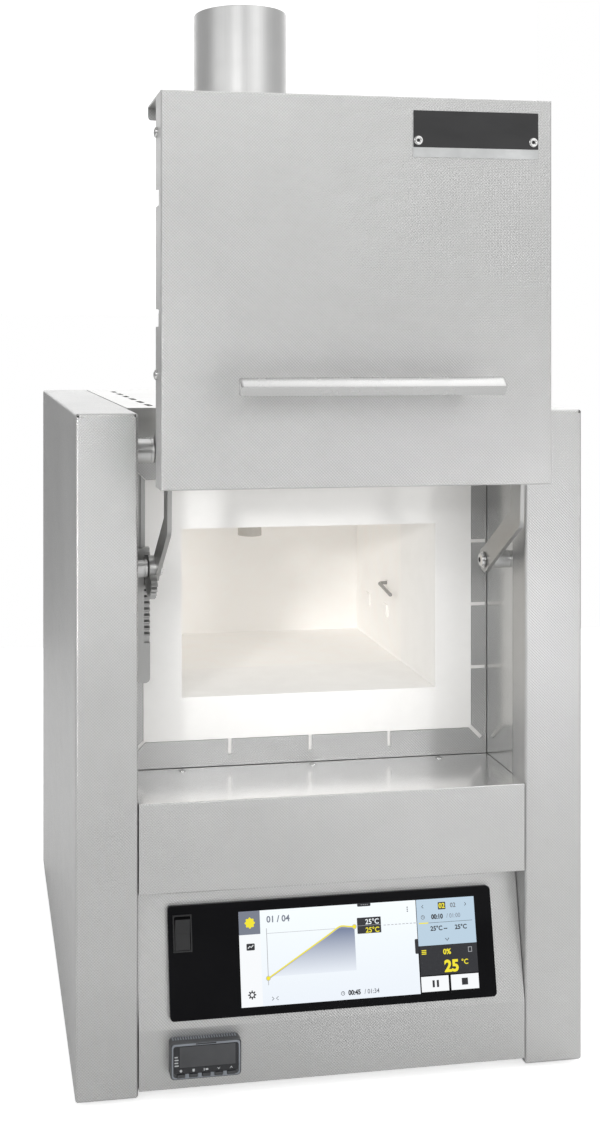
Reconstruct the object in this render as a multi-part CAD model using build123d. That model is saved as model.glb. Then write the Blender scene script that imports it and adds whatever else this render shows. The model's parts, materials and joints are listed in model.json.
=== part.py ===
"""Bench-top muffle furnace with a parallel-swing lift door.

Millimetres, +Z up, +Y towards the back. The parts are drawn with Y = 0 on the front
plane of the side covers and moved at the end, so that the exported origin lies on the
table under the middle of the whole object. The door is drawn raised, its rest position.
"""
import os
from math import atan2, cos, degrees, pi, radians, sin, tan

from build123d import *

# ---------------------------------------------------------------- casing
body_width = 385.0
body_depth = 430.0
body_height = 497.0
foot_height = 3.0
foot_radius = 10.0
foot_inset = 24.0
sheet = 1.5                      # folded steel sheet
seam = 0.4                       # gap between neighbouring sheets
cover_width = 45.5               # each side cover, seen from the front
cover_return = 22.0              # side cover's flange into the door recess
cover_bend = 2.2                 # outer bend radius
recess_depth = 73.0              # from the side covers' front to the face frame
fascia_height = 22.0             # top cover's front lip
corner_hole_radius = 1.3         # relief holes where the covers' bends meet
wall_window_margin = 12.0        # inner wall's window to the cover's top and bottom
top_slot_count = 6               # cooling slots along each side of the top cover
top_slot_length = 30.0
top_slot_width = 5.0
top_slot_inset = 22.0            # from the top cover's side edge
top_slot_margin = 40.0           # from the fascia to the first slot
base_slot_count = 6
base_slot_length = 70.0
base_slot_pitch = 30.0

# ---------------------------------------------------------------- front below the door
ledge_height = 215.0             # top of the ledge over the table
ledge_drop = 66.0                # height of its front
ledge_flange = 18.0
plinth_height = 51.0             # crease between the plinth and the sloping panel
plinth_bottom = 8.0
panel_setback = 18.0             # how far the sloping panel leans back at its top
ledge_screw_radius = 2.6
ledge_screw_rise = 1.1
ledge_screw_pitch = 104.0
ledge_screw_setback = 6.0
ledge_slit_length = 13.0         # slit that lets the ledge expand towards each screw
ledge_slit_width = 0.8
panel_gap = 2.0                  # sloping panel's top edge under the ledge
panel_flange = 22.0

# ---------------------------------------------------------------- heated chamber
collar_depth = 85.0
collar_side_room = 12.6          # fibre collar to the edge of the face frame
collar_rise = 21.0               # collar over the ledge
collar_drop = 56.0               # collar under the casing's top
collar_wall = 30.5               # beside the mouth
collar_floor_wall = 34.0
collar_roof_wall = 39.0
muffle_step = 1.5                # muffle is this much wider than the mouth on each side
muffle_depth = 134.0
muffle_wall = 11.0
heater_thickness = 6.0
heater_margin = 8.0              # heating plate to the muffle's front
heater_overlap = 4.0             # plate beyond the mouth's floor and roof
insulation_side = 5.0            # air gap between the fibre lining and the inner walls
insulation_drop = 12.0           # lining below and above the collar
insulation_rise = 27.0
insulation_back = 60.0
slot_width = 3.0                 # relief slots in the face frame
slot_end_gap = 0.6
side_slot_pitch = 51.0
end_slot_pitch = 65.0

# ---------------------------------------------------------------- flue
chimney_radius = 46.3
chimney_wall = 1.2
chimney_top = 874.5
chimney_setback = 85.0           # axis to the back of the casing
flange_width = 14.0
vent_radius = 11.0
vent_bore = 7.0
vent_drop = 35.5                 # how far the ceramic vent hangs into the chamber
vent_side = -8.0
vent_setback = 30.0              # from the chamber's back wall
vent_fit = 0.2                   # radial gap around the vent tube
flue_half_width = 54.0
flue_front_margin = 22.0         # duct in front of the vent and behind the pipe
flue_back_margin = 6.0
flue_wall = 1.0
flange_thickness = 2.0
flange_screw_radius = 3.6
flange_screw_rise = 2.2
probe_setback = 43.0             # thermocouple behind the collar and over the floor
probe_rise = 60.0
probe_radius = 1.6
probe_bore = 2.2
probe_head_radius = 6.0
probe_head_length = 14.0
probe_reach = 11.0               # tip to the chamber's side wall
probe_bend = 44.0                # length of the bent tip
clip_setbacks = (43.0, 94.0)
clip_rise = 30.0
clip_height = 11.0
clip_width = 10.0
clip_thickness = 2.0

# ---------------------------------------------------------------- lift linkage
pin_setback = 33.0               # fixed pivots behind the front plane
lower_pin_height = 379.0
pin_spacing = 88.0
arm_length = 122.5
arm_lean = 30.0                  # raised arm leans forward by this angle
door_swing = 147.0               # turn of the arms from raised to closed
elbow_reach = 58.0
elbow_rise = 40.0
arm_width = 17.0
arm_thickness = 3.0
arm_side_room = 19.0             # arms' inner face to the inner walls at the fixed pivots
eye_margin = 0.8                 # eyes are this much wider than the bar on each side
joggle_depth = 8.5               # upper arms step inwards to pass the lower pivots
joggle_start = 22.0
joggle_run = 18.0
pivot_radius = 4.0
pivot_clearance = 0.05           # radial running clearance
running_gap = 0.3                # side clearance between moving and fixed faces
lower_bush_radius = 6.6
upper_bush_radius = 9.0
cap_radius = 6.2
cap_thickness = 3.2
stud_head_radius = 6.5
stud_head_thickness = 2.6

# ---------------------------------------------------------------- rack and gear sector
gear_module = 1.5
gear_teeth = 28                  # of a full wheel, the sector holds part of them
gear_width = 4.6
tooth_backlash = 0.5             # taken off each tooth's width
pressure_angle = 20.0
tip_clearance = 0.375            # root clearance
rack_body = 6.0                  # rack behind the tooth roots
rack_width = 9.2
rack_tail = 30.5                 # plain end below the teeth
rack_run_out = 6.5               # teeth below the last contact
guide_gap = 0.3
guide_tongue = 3.4
guide_tongue_depth = 2.0
guide_corner = 5.0               # cut off the rail's upper inner corner
spring_radius = 4.6
spring_wire = 0.8
spring_turns = 11
spring_length = 66.0
lug_height = 6.0
lug_rise = 5.0                   # lug over the rack's lower end

# ---------------------------------------------------------------- door
door_height = 271.0
door_gap = 7.5                   # to each side cover
door_sill_gap = 4.5              # closed door over the ledge
door_proud = 6.0                 # closed door in front of the side covers
door_flange = 25.0
door_roof = 66.0                 # top flange, front to back
door_roof_lip = 10.0
pan_side_room = 11.5             # pan to the arms' inner face
pan_depth = 70.0
pan_margin = 8.0                 # pan edge to the skin's top and bottom edges
plug_proud = 8.0
notch_height = 12.0
notch_depth = 13.0
notch_rise = 117.0               # lower notch over the door's lower edge
notch_drop = 71.0                # upper notch under the door's upper edge
door_screw_rise = 78.0
door_screw_drop = 26.0
door_screw_inset = 5.5
door_screw_radius = 3.7
stud_shoulder = 3.0              # door studs are this much thicker beside the arm
handle_length = 183.0
handle_height = 12.0
handle_depth = 9.0
handle_standoff = 26.0
handle_rise = 71.0               # handle axis over the door's lower edge
handle_chamfer = 3.5
handle_post_radius = 4.0
handle_post_inset = 18.0

# ---------------------------------------------------------------- controls
glass_width = 248.0
glass_height = 78.5
glass_thickness = 3.0
glass_rise = 6.0                 # lower edge of the glass along the slope from the crease
controller_depth = 24.0
controller_border = 5.0          # glass over the edge of its window, above and below
controller_side_border = 2.4
rocker_width = 11.4
rocker_height = 23.0
rocker_border = 1.4
rocker_tilt = 7.0
rocker_side = 10.6               # from the glass's left edge to the switch's middle
rocker_drop = 19.2               # from the glass's top edge to the switch's middle
limiter_width = 51.8
limiter_height = 26.7
limiter_proud = 8.0
limiter_side = 21.8              # from the panel's left edge
limiter_bottom = 18.5
limiter_body = 40.0
limiter_border = 1.6             # bezel beyond its cut-out
limiter_rim = 2.6                # bezel round the window, at the sides and the top
limiter_sill = 4.9               # bezel under the window, with the keys
button_rise = 3.0                # keys' middle over the bezel's lower edge
button_width = 5.6
button_height = 2.2
button_travel = 0.8
button_gap = 0.3
button_pitch = 9.2
button_count = 5

# ---------------------------------------------------------------- back
inlet_side = 60.0                # inlet's middle to the inner wall
inlet_bottom = 40.0
inlet_width = 30.0
inlet_height = 24.0
inlet_depth = 22.0
inlet_proud = 2.5
inlet_rim = 4.0
inlet_fit = 0.2
socket_half_width = 12.0
socket_half_height = 8.3
socket_depth = 15.0
louvre_count = 9
louvre_pitch = 14.0
louvre_length = 90.0
louvre_width = 4.0
louvre_side = 62.0
louvre_drop = 60.0

# ---------------------------------------------------------------- on the base pan
module_half_width = 40.0
module_front = 150.0
module_length = 80.0
module_base = 6.0
module_height = 30.0
fin_count = 9
fin_pitch = 9.5
terminal_side = 36.6             # terminal block to the pan's right edge
terminal_setback = 78.0          # and to the casing's back
terminal_depth = 22.0
terminal_height = 24.0
terminal_count = 6
terminal_pitch = 11.5

# ---------------------------------------------------------------- worked out from the sizes
inner_half = body_width / 2 - cover_width
panel_half = inner_half - seam
cover_bottom = foot_height
frame_front = recess_depth
frame_back = frame_front + sheet
collar_width = 2 * (panel_half - collar_side_room)
collar_bottom = ledge_height + collar_rise
collar_top = body_height - collar_drop
slot_length = collar_side_room - slot_end_gap
mouth_width = collar_width - 2 * collar_wall
mouth_floor = collar_bottom + collar_floor_wall
mouth_top = collar_top - collar_roof_wall
chamber_half = mouth_width / 2 + muffle_step
insulation_bottom = collar_bottom - insulation_drop
insulation_top = collar_top + insulation_rise
muffle_front = frame_front + collar_depth
muffle_back = muffle_front + muffle_depth
lining_back = muffle_back + muffle_wall + insulation_back
ledge_bottom = ledge_height - ledge_drop
slope_height = ledge_bottom - panel_gap - plinth_height
slope_angle = degrees(atan2(panel_setback, slope_height))
chimney_y = body_depth - chimney_setback
vent_y = muffle_back - vent_setback
upper_pin_height = lower_pin_height + pin_spacing
arm_inner = inner_half - arm_side_room
arm_outer = arm_inner + arm_thickness

open_reach = arm_length * sin(radians(arm_lean))
open_rise = arm_length * cos(radians(arm_lean))
closed_angle = radians(90 + arm_lean + door_swing)
closed_reach = -arm_length * cos(closed_angle)
closed_drop = -arm_length * sin(closed_angle)
door_front = -door_proud - (open_reach - closed_reach)
door_bottom = ledge_height + door_sill_gap + open_rise + closed_drop
door_top = door_bottom + door_height
notch_rises = (notch_rise, door_height - notch_drop)
door_screw_rises = (door_screw_rise, door_height - door_screw_drop)
door_half = inner_half - door_gap
pan_half_width = arm_inner - pan_side_room
stud_y = pin_setback - open_reach
lower_stud_z = lower_pin_height + open_rise
upper_stud_z = upper_pin_height + open_rise

gear_pitch_radius = gear_module * gear_teeth / 2
rack_travel = gear_pitch_radius * radians(door_swing)
rack_pitch_y = pin_setback + gear_pitch_radius
rack_root_y = rack_pitch_y + gear_module + tip_clearance
rack_back_y = rack_root_y + rack_body
rack_inner = arm_outer + running_gap
rack_outer = rack_inner + rack_width

probe_y = muffle_front + probe_setback
probe_z = mouth_floor + probe_rise
limiter_left = -panel_half + limiter_side
inlet_x = inner_half - inlet_side
inlet_z = inlet_bottom + inlet_height / 2

handle_front = door_front - handle_standoff - handle_depth
origin_y = (handle_front + body_depth + inlet_proud) / 2


# ---------------------------------------------------------------- helpers
def block(x0, x1, y0, y1, z0, z1):
    """Box between two corners."""
    centre = Pos((x0 + x1) / 2, (y0 + y1) / 2, (z0 + z1) / 2)
    return centre * Box(x1 - x0, y1 - y0, z1 - z0)


def rod_x(radius, x0, x1, y, z):
    """Cylinder along X."""
    return Pos((x0 + x1) / 2, y, z) * Rot(0, 90, 0) * Cylinder(radius, abs(x1 - x0))


def rod_y(radius, y0, y1, x, z):
    """Cylinder along Y."""
    return Pos(x, (y0 + y1) / 2, z) * Rot(90, 0, 0) * Cylinder(radius, abs(y1 - y0))


def rod_z(radius, z0, z1, x, y):
    """Cylinder along Z."""
    return Pos(x, y, (z0 + z1) / 2) * Cylinder(radius, z1 - z0)


def other_side(part):
    """Mirror image across the middle plane."""
    return mirror(part, about=Plane.YZ)


def both_sides(part):
    """The part and its mirror image as one group."""
    return Compound(children=[part, other_side(part)])


def slope(part):
    """Lean a part drawn on the vertical plane through the crease onto the sloping panel."""
    return Pos(0, 0, plinth_height) * Rot(-slope_angle, 0, 0) * part


def save(part, name):
    """Write one sub-part with the origin under the middle of the object."""
    export_step(Pos(0, -origin_y, 0) * part, f"parts/{name}.step")


# ---------------------------------------------------------------- casing
def side_cover():
    """Right-hand cover: a folded box, open towards the inner wall behind its return."""
    x0, x1 = inner_half, body_width / 2
    shell = block(x0, x1, 0, body_depth, cover_bottom, body_height)
    shell = fillet(shell.edges(), cover_bend)
    shell -= block(x0 + sheet, x1 - sheet, sheet, body_depth - sheet,
                   cover_bottom + sheet, body_height - sheet)
    window = block(x0 - 1, x0 + sheet + 0.5, cover_return, body_depth - cover_return,
                   cover_bottom + wall_window_margin, body_height - wall_window_margin)
    corner = cover_bend * 0.75
    for x in (x0 + corner, x1 - corner):
        shell -= rod_y(corner_hole_radius, -1, sheet * 2, x, body_height - corner)
    return shell - window


def inner_wall():
    """Right-hand smooth wall of the recess and of the body, standing in the cover's window."""
    x0 = inner_half
    return block(x0, x0 + sheet, cover_return + seam, body_depth - cover_return - seam,
                 cover_bottom + wall_window_margin + seam,
                 body_height - wall_window_margin - seam)


def right_inner_wall():
    """Right wall with the bore for the thermocouple."""
    return inner_wall() - thermocouple_hole(inner_half - 1, inner_half + sheet + 1)


def left_inner_wall():
    """Left wall with the slot that the rack's spring lug runs in."""
    lug_low = rack_bottom() + lug_rise
    slot = block(-inner_half - sheet - 1, -inner_half + 1, rack_root_y - 1, rack_back_y + 1,
                 lug_low - 1.5, lug_low + lug_height + rack_travel + 1.5)
    return other_side(inner_wall()) - slot


def top_cover():
    """Top sheet with its front fascia, rear lip, cooling slots and flue hole."""
    y0, y1 = frame_front - sheet, body_depth - sheet - seam
    part = block(-panel_half, panel_half, y0, y1, body_height - sheet, body_height)
    part += block(-panel_half, panel_half, y0, y0 + sheet,
                  body_height - fascia_height, body_height)
    part += block(-panel_half, panel_half, y1 - sheet, y1, body_height - 12, body_height)
    part -= rod_z(chimney_radius - chimney_wall, body_height - 5, body_height + 5, 0, chimney_y)
    first = frame_front + top_slot_margin
    pitch = (body_depth - 2 * top_slot_length - first) / (top_slot_count - 1)
    slot = extrude(SlotOverall(top_slot_length, top_slot_width, rotation=90), amount=10)
    for i in range(top_slot_count):
        for side in (-1, 1):
            place = Pos(side * (panel_half - top_slot_inset), first + i * pitch, body_height - 6)
            part -= place * slot
    return part


def face_frame():
    """Plate behind the door around the fibre collar, with heat relief slots."""
    z0, z1 = ledge_height + seam, body_height - fascia_height - seam
    part = block(-panel_half, panel_half, frame_front, frame_back, z0, z1)
    half = collar_width / 2
    y0, y1 = frame_front - 1, frame_back + 1
    part -= block(-half, half, y0, y1, collar_bottom, collar_top)
    middle = (mouth_floor + mouth_top) / 2
    for k in (-1, 0, 1):
        z = middle + k * side_slot_pitch
        tool = block(half - 1, half + slot_length, y0, y1, z - slot_width / 2, z + slot_width / 2)
        part -= tool
        part -= other_side(tool)
        x = k * end_slot_pitch
        part -= block(x - slot_width / 2, x + slot_width / 2, y0, y1,
                      collar_bottom - slot_length, collar_bottom + 1)
        part -= block(x - slot_width / 2, x + slot_width / 2, y0, y1,
                      collar_top - 1, collar_top + slot_length)
    for z, turn in ((collar_bottom, 45), (collar_top, -45)):
        tool = Pos(half, frame_front, z) * Rot(0, turn, 0) * Box(2 * slot_length, 6, slot_width)
        part -= tool
        part -= other_side(tool)
    return part


def rear_panel():
    """Back sheet with louvre slots and the cut-out of the mains inlet."""
    y0, y1 = body_depth - sheet, body_depth
    part = block(-panel_half, panel_half, y0, y1, plinth_bottom, body_height - seam)
    for column in (-1, 1):
        for i in range(louvre_count):
            tool = extrude(SlotOverall(louvre_length, louvre_width), amount=6)
            z = body_height - louvre_drop - i * louvre_pitch
            part -= Pos(column * louvre_side, y1 + 2, z) * Rot(90, 0, 0) * tool
    part -= inlet_hole()
    return part


def inlet_hole():
    """Cut-out in the back sheet."""
    half = inlet_width / 2
    return block(inlet_x - half, inlet_x + half, body_depth - 8, body_depth + 8,
                 inlet_bottom, inlet_bottom + inlet_height)


def mains_inlet():
    """Appliance inlet: flange, body and three contact blades in a socket."""
    rim_x, rim_z = inlet_width / 2 + inlet_rim, inlet_height / 2 + inlet_rim
    part = block(inlet_x - rim_x, inlet_x + rim_x, body_depth, body_depth + inlet_proud,
                 inlet_z - rim_z, inlet_z + rim_z)
    part = fillet(part.edges().filter_by(Axis.Y), inlet_rim - 1)
    body_x, body_z = inlet_width / 2 - inlet_fit, inlet_height / 2 - inlet_fit
    part += block(inlet_x - body_x, inlet_x + body_x, body_depth - inlet_depth, body_depth,
                  inlet_z - body_z, inlet_z + body_z)
    socket_end = body_depth - socket_depth
    part -= block(inlet_x - socket_half_width, inlet_x + socket_half_width,
                  socket_end, body_depth + inlet_proud + 1,
                  inlet_z - socket_half_height, inlet_z + socket_half_height)
    for dx, dz in ((-7, -2), (7, -2), (0, 3)):
        x, z = inlet_x + dx, inlet_z + dz
        part += block(x - 1, x + 1, socket_end - 0.5, body_depth - 3, z - 2, z + 2)
    return part


def base_pan():
    """Floor of the casing between the side covers."""
    y0, y1 = sheet + seam, body_depth - sheet - seam
    part = block(-panel_half, panel_half, y0, y1, plinth_bottom, plinth_bottom + sheet)
    slot = extrude(SlotOverall(base_slot_length, top_slot_width), amount=6)
    first = (body_depth - (base_slot_count - 1) * base_slot_pitch) / 2
    for i in range(base_slot_count):
        part -= Pos(0, first + i * base_slot_pitch, plinth_bottom - 2) * slot
    return part


def feet():
    """Four rubber feet under the side covers."""
    x = body_width / 2 - cover_width / 2
    pads = []
    for sx in (-1, 1):
        for y in (foot_inset, body_depth - foot_inset):
            pad = rod_z(foot_radius, 0, foot_height, sx * x, y)
            pads.append(chamfer(pad.faces().sort_by(Axis.Z)[0].edges(), 0.8))
    return Compound(children=pads)


# ---------------------------------------------------------------- ledge and front panel
def ledge():
    """Stainless ledge under the door: top, front and a lower flange with three hooks."""
    skin = Plane.YZ * Polygon((0, ledge_bottom), (0, ledge_height),
                              (frame_front, ledge_height), (frame_front, ledge_height - sheet),
                              (sheet, ledge_height - sheet), (sheet, ledge_bottom + sheet),
                              (ledge_flange, ledge_bottom + sheet), (ledge_flange, ledge_bottom),
                              align=None)
    part = extrude(skin, amount=panel_half, both=True)
    bend = part.edges().filter_by(Axis.X).filter_by_position(Axis.Y, -0.01, 0.01)
    part = fillet(bend, 1.2)
    for x, y in ledge_screw_places():
        part -= rod_z(ledge_screw_radius / 2, ledge_height - 4, ledge_height + 1, x, y)
        part -= block(x - ledge_slit_length, x, y - ledge_slit_width / 2, y + ledge_slit_width / 2,
                      ledge_height - 4, ledge_height + 1)
    return part


def ledge_screw_places():
    """Centres of the three screws along the ledge's back edge."""
    y = frame_front - ledge_screw_setback
    return [(k * ledge_screw_pitch, y) for k in (-1, 0, 1)]


def ledge_screws():
    """Low-headed screws that hold the ledge."""
    screws = []
    for x, y in ledge_screw_places():
        head = rod_z(ledge_screw_radius, ledge_height, ledge_height + ledge_screw_rise, x, y)
        head = fillet(head.faces().sort_by(Axis.Z)[-1].edges(), 0.8)
        shank = rod_z(ledge_screw_radius / 2 - pivot_clearance, ledge_height - 6, ledge_height, x, y)
        screws.append(head + shank)
    return Compound(children=screws)


def front_panel():
    """Plinth and sloping panel folded from one sheet, with windows for the two controls."""
    top = ledge_bottom - panel_gap
    back = panel_setback
    run = tan(radians(slope_angle))
    skin = Plane.YZ * Polygon((0, plinth_bottom), (0, plinth_height), (back, top),
                              (back + panel_flange, top), (back + panel_flange, top - sheet),
                              (back + sheet - 0.2, top - sheet),
                              (sheet, plinth_height - run * sheet / 2),
                              (sheet, plinth_bottom), align=None)
    part = extrude(skin, amount=panel_half, both=True)
    border = controller_border
    half = glass_width / 2 - controller_side_border
    window = block(-half, half, -8, 12,
                   glass_rise + border, glass_rise + glass_height - border)
    part -= slope(window)
    border = limiter_border - 0.3
    part -= block(limiter_left + border, limiter_left + limiter_width - border, -4, 6,
                  limiter_bottom + border, limiter_bottom + limiter_height - border)
    return part


# ---------------------------------------------------------------- chamber
def fibre_collar():
    """White fibre front block whose mouth the charge goes in through."""
    half = collar_width / 2 - seam
    part = block(-half, half, frame_front, muffle_front, collar_bottom + seam, collar_top - seam)
    mouth = block(-mouth_width / 2, mouth_width / 2, frame_front - 1, muffle_front + 1,
                  mouth_floor, mouth_top)
    return part - mouth


def muffle():
    """Ceramic muffle behind the collar, open to the front."""
    half = chamber_half
    outer = half + muffle_wall
    z0, z1 = mouth_floor - muffle_step, mouth_top + muffle_step
    part = block(-outer, outer, muffle_front, muffle_back + muffle_wall,
                 z0 - muffle_wall, z1 + muffle_wall)
    part -= block(-half, half, muffle_front - 1, muffle_back, z0, z1)
    part -= rod_z(vent_radius + vent_fit, z1 - 1, z1 + muffle_wall + 1, vent_side, vent_y)
    part -= thermocouple_hole(half - 1, outer + 1)
    return part


def thermocouple_hole(x0, x1):
    """Bore for the thermocouple through a right-hand wall."""
    return rod_x(probe_bore, x0, x1, probe_y, probe_z)


def heating_plate():
    """Right-hand plate with the embedded heating wire."""
    x0 = chamber_half + muffle_wall
    return block(x0, x0 + heater_thickness, muffle_front + heater_margin, muffle_back,
                 mouth_floor - heater_overlap, mouth_top + heater_overlap)


def right_heating_plate():
    """Right plate with the thermocouple's bore."""
    x0 = chamber_half + muffle_wall
    return heating_plate() - thermocouple_hole(x0 - 1, x0 + heater_thickness + 1)


def lining():
    """Fibre insulation around collar, muffle and heating plates."""
    half = panel_half - insulation_side
    part = block(-half, half, frame_back, lining_back, insulation_bottom, insulation_top)
    collar_half = collar_width / 2
    part -= block(-collar_half, collar_half, frame_back - 1, muffle_front,
                  collar_bottom, collar_top)
    outer = chamber_half + muffle_wall
    z0 = mouth_floor - muffle_step - muffle_wall
    z1 = mouth_top + muffle_step + muffle_wall
    part -= block(-outer, outer, muffle_front - 1, muffle_back + muffle_wall, z0, z1)
    wide = outer + heater_thickness
    part -= block(-wide, wide, muffle_front + heater_margin, muffle_back,
                  mouth_floor - heater_overlap, mouth_top + heater_overlap)
    part -= rod_z(vent_radius + vent_fit, z1 - 1, insulation_top + 1, vent_side, vent_y)
    part -= thermocouple_hole(wide - 1, half + 1)
    return part


def thermocouple():
    """Sheathed probe: a rod through the right wall that bends forward inside the chamber."""
    head_seat = inner_half + sheet
    outer_end = head_seat + probe_head_length
    tip = chamber_half - probe_reach
    path = FilletPolyline((outer_end, probe_y, probe_z), (tip + 4, probe_y, probe_z),
                          (tip, probe_y - probe_bend, probe_z - 2), radius=3 * probe_radius)
    section = Plane(origin=(outer_end, probe_y, probe_z), z_dir=(-1, 0, 0)) * Circle(probe_radius)
    rod = sweep(section, path)
    return rod + rod_x(probe_head_radius, head_seat, outer_end, probe_y, probe_z)


def element_clips():
    """Small ceramic pads that hold the heating wire ends on the chamber's side walls."""
    pads = []
    z = mouth_floor + clip_rise
    for setback in clip_setbacks:
        y = muffle_front + setback
        pad = block(chamber_half - clip_thickness, chamber_half,
                    y - clip_width / 2, y + clip_width / 2, z, z + clip_height)
        pads += [pad, other_side(pad)]
    return Compound(children=pads)


# ---------------------------------------------------------------- flue
def vent_tube():
    """Ceramic tube from the chamber's ceiling up into the flue box."""
    top = insulation_top + 4
    tube = rod_z(vent_radius, mouth_top - vent_drop, top, vent_side, vent_y)
    return tube - rod_z(vent_bore, mouth_top - vent_drop - 1, top + 1, vent_side, vent_y)


def flue_box():
    """Flat sheet duct between the vent tube and the chimney."""
    y0 = vent_y - flue_front_margin
    y1 = chimney_y + chimney_radius + flue_back_margin
    z0, z1 = insulation_top, body_height - sheet
    part = block(-flue_half_width, flue_half_width, y0, y1, z0, z1)
    inner = flue_half_width - flue_wall
    part -= block(-inner, inner, y0 + flue_wall, y1 - flue_wall, z0 + flue_wall, z1 - flue_wall)
    part -= rod_z(vent_radius + vent_fit, z0 - 1, z0 + 2, vent_side, vent_y)
    part -= rod_z(chimney_radius - chimney_wall, z1 - 2, z1 + 1, 0, chimney_y)
    return part


def chimney():
    """Stainless exhaust pipe with its foot flange on the top cover."""
    z0 = body_height
    part = rod_z(chimney_radius, z0, chimney_top, 0, chimney_y)
    foot = rod_z(chimney_radius + flange_width, z0, z0 + flange_thickness, 0, chimney_y)
    part += foot
    part -= rod_z(chimney_radius - chimney_wall, z0 - 1, chimney_top + 1, 0, chimney_y)
    for x, y in chimney_screw_places():
        part -= rod_z(flange_screw_radius / 2, z0 - 1, z0 + flange_thickness + 1, x, y)
    return part


def chimney_screw_places():
    """Centres of the four screws in the pipe's flange."""
    r = chimney_radius + flange_width / 2
    turns = [radians(45 + 90 * i) for i in range(4)]
    return [(r * cos(a), chimney_y + r * sin(a)) for a in turns]


def chimney_screws():
    """Pan-head screws in the chimney's flange."""
    screws = []
    z0 = body_height + flange_thickness
    for x, y in chimney_screw_places():
        head = rod_z(flange_screw_radius, z0, z0 + flange_screw_rise, x, y)
        screws.append(fillet(head.faces().sort_by(Axis.Z)[-1].edges(), 1.4))
    return Compound(children=screws)


# ---------------------------------------------------------------- linkage
def arm_outline():
    """Cranked bar from the fixed pivot at (0, 0) over the elbow to the door's stud."""
    elbow = Vector(-elbow_reach, elbow_rise)
    stud = Vector(-open_reach, open_rise)
    bar = Sketch()
    for start, end in ((Vector(0, 0), elbow), (elbow, stud)):
        run = end - start
        middle = (start + end) * 0.5
        turn = degrees(atan2(run.Y, run.X))
        bar += Pos(middle.X, middle.Y) * SlotCenterToCenter(run.length, arm_width, rotation=turn)
    for eye in (Vector(0, 0), stud):
        bar += Pos(eye.X, eye.Y) * Circle(arm_width / 2 + eye_margin)
        bar -= Pos(eye.X, eye.Y) * Circle(pivot_radius + pivot_clearance)
    return bar


def lower_arm():
    """Right-hand lower arm, a flat bar."""
    plane = Plane(origin=(arm_inner, pin_setback, lower_pin_height), x_dir=(0, 1, 0),
                  z_dir=(1, 0, 0))
    return extrude(plane * arm_outline(), amount=arm_thickness)


def upper_arm():
    """Right-hand upper arm, stepped inwards so that it passes the lower pivot's screw."""
    low = arm_inner - joggle_depth
    plane = Plane(origin=(low, pin_setback, upper_pin_height), x_dir=(0, 1, 0), z_dir=(1, 0, 0))
    blank = extrude(plane * arm_outline(), amount=arm_thickness + joggle_depth)
    lean = Vector(0, -elbow_reach, elbow_rise).normalized()
    across = Vector(0, lean.Z, -lean.Y)
    side_view = Plane(origin=(0, pin_setback, upper_pin_height), x_dir=lean, z_dir=across)
    bend = atan2(joggle_depth, joggle_run)
    shift = arm_thickness * tan(bend / 2)
    s0, s1, reach = joggle_start, joggle_start + joggle_run, 2 * arm_length
    step = Polygon((-reach, arm_inner), (s0, arm_inner), (s1, low), (reach, low),
                   (reach, low + arm_thickness), (s1 + shift, low + arm_thickness),
                   (s0 + shift, arm_outer), (-reach, arm_outer), align=None)
    return blank & extrude(side_view * step, amount=reach, both=True)


def pivot_bush(pin_height, radius):
    """Right-hand fixed pivot: spacer bush on the inner wall with the journal in the arm."""
    x_face = arm_outer + running_gap
    part = rod_x(radius, x_face, inner_half, pin_setback, pin_height)
    part += rod_x(pivot_radius, arm_inner - running_gap, x_face, pin_setback, pin_height)
    return part


def left_lower_bush():
    """Left lower pivot, whose bush ends at the gear sector instead of at the arm."""
    x_face = arm_outer + gear_width + running_gap
    part = rod_x(lower_bush_radius, x_face, inner_half, pin_setback, lower_pin_height)
    part += rod_x(pivot_radius, arm_inner - running_gap, x_face, pin_setback, lower_pin_height)
    return other_side(part)


def pivot_cap(pin_height):
    """Socket-head screw and washer on the inner end of a fixed pivot."""
    x1 = arm_inner - running_gap
    washer = rod_x(cap_radius, x1 - 1.0, x1, pin_setback, pin_height)
    head = rod_x(cap_radius - 1.2, x1 - cap_thickness, x1 - 1.0, pin_setback, pin_height)
    socket = Pos(x1 - cap_thickness, pin_setback, pin_height) * Rot(0, 90, 0)
    head -= socket * extrude(RegularPolygon(2.3, 6), amount=1.6, both=True)
    return washer + head


def gear_sector():
    """Toothed sector on the left lower arm, in mesh with the rack."""
    pitch_radius = gear_pitch_radius
    root = pitch_radius - gear_module - tip_clearance
    half_tooth = (pi * gear_module / 2 - tooth_backlash) / 2
    base = pitch_radius * cos(radians(pressure_angle))
    step = 2 * pi / gear_teeth
    flank_radii = [root + 0.6, pitch_radius - 0.4, pitch_radius + 0.6, pitch_radius + gear_module]
    blank = Sketch()
    first = -int(radians(door_swing) / step) - 1
    for i in range(first, 2):
        half_angles = [half_tooth_angle(r, base, pitch_radius, half_tooth) for r in flank_radii]
        radii = [root - 1.0] + flank_radii
        angles = [half_angles[0] * 1.25] + half_angles
        polar = [(r, -h) for r, h in zip(radii, angles)]
        polar += [(r, h) for r, h in reversed(list(zip(radii, angles)))]
        points = [(r * cos(i * step + h), r * sin(i * step + h)) for r, h in polar]
        blank += Polygon(*points, align=None)
    start = degrees((first - 0.5) * step)
    span = degrees((1.5 - first) * step)
    shape = sector_body(root, start, span) + blank
    shape += Circle(lower_bush_radius + 3)
    shape -= Circle(pivot_radius + pivot_clearance)
    plane = Plane(origin=(-arm_outer - gear_width, pin_setback, lower_pin_height),
                  x_dir=(0, 1, 0), z_dir=(1, 0, 0))
    return extrude(plane * shape, amount=gear_width)


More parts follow.
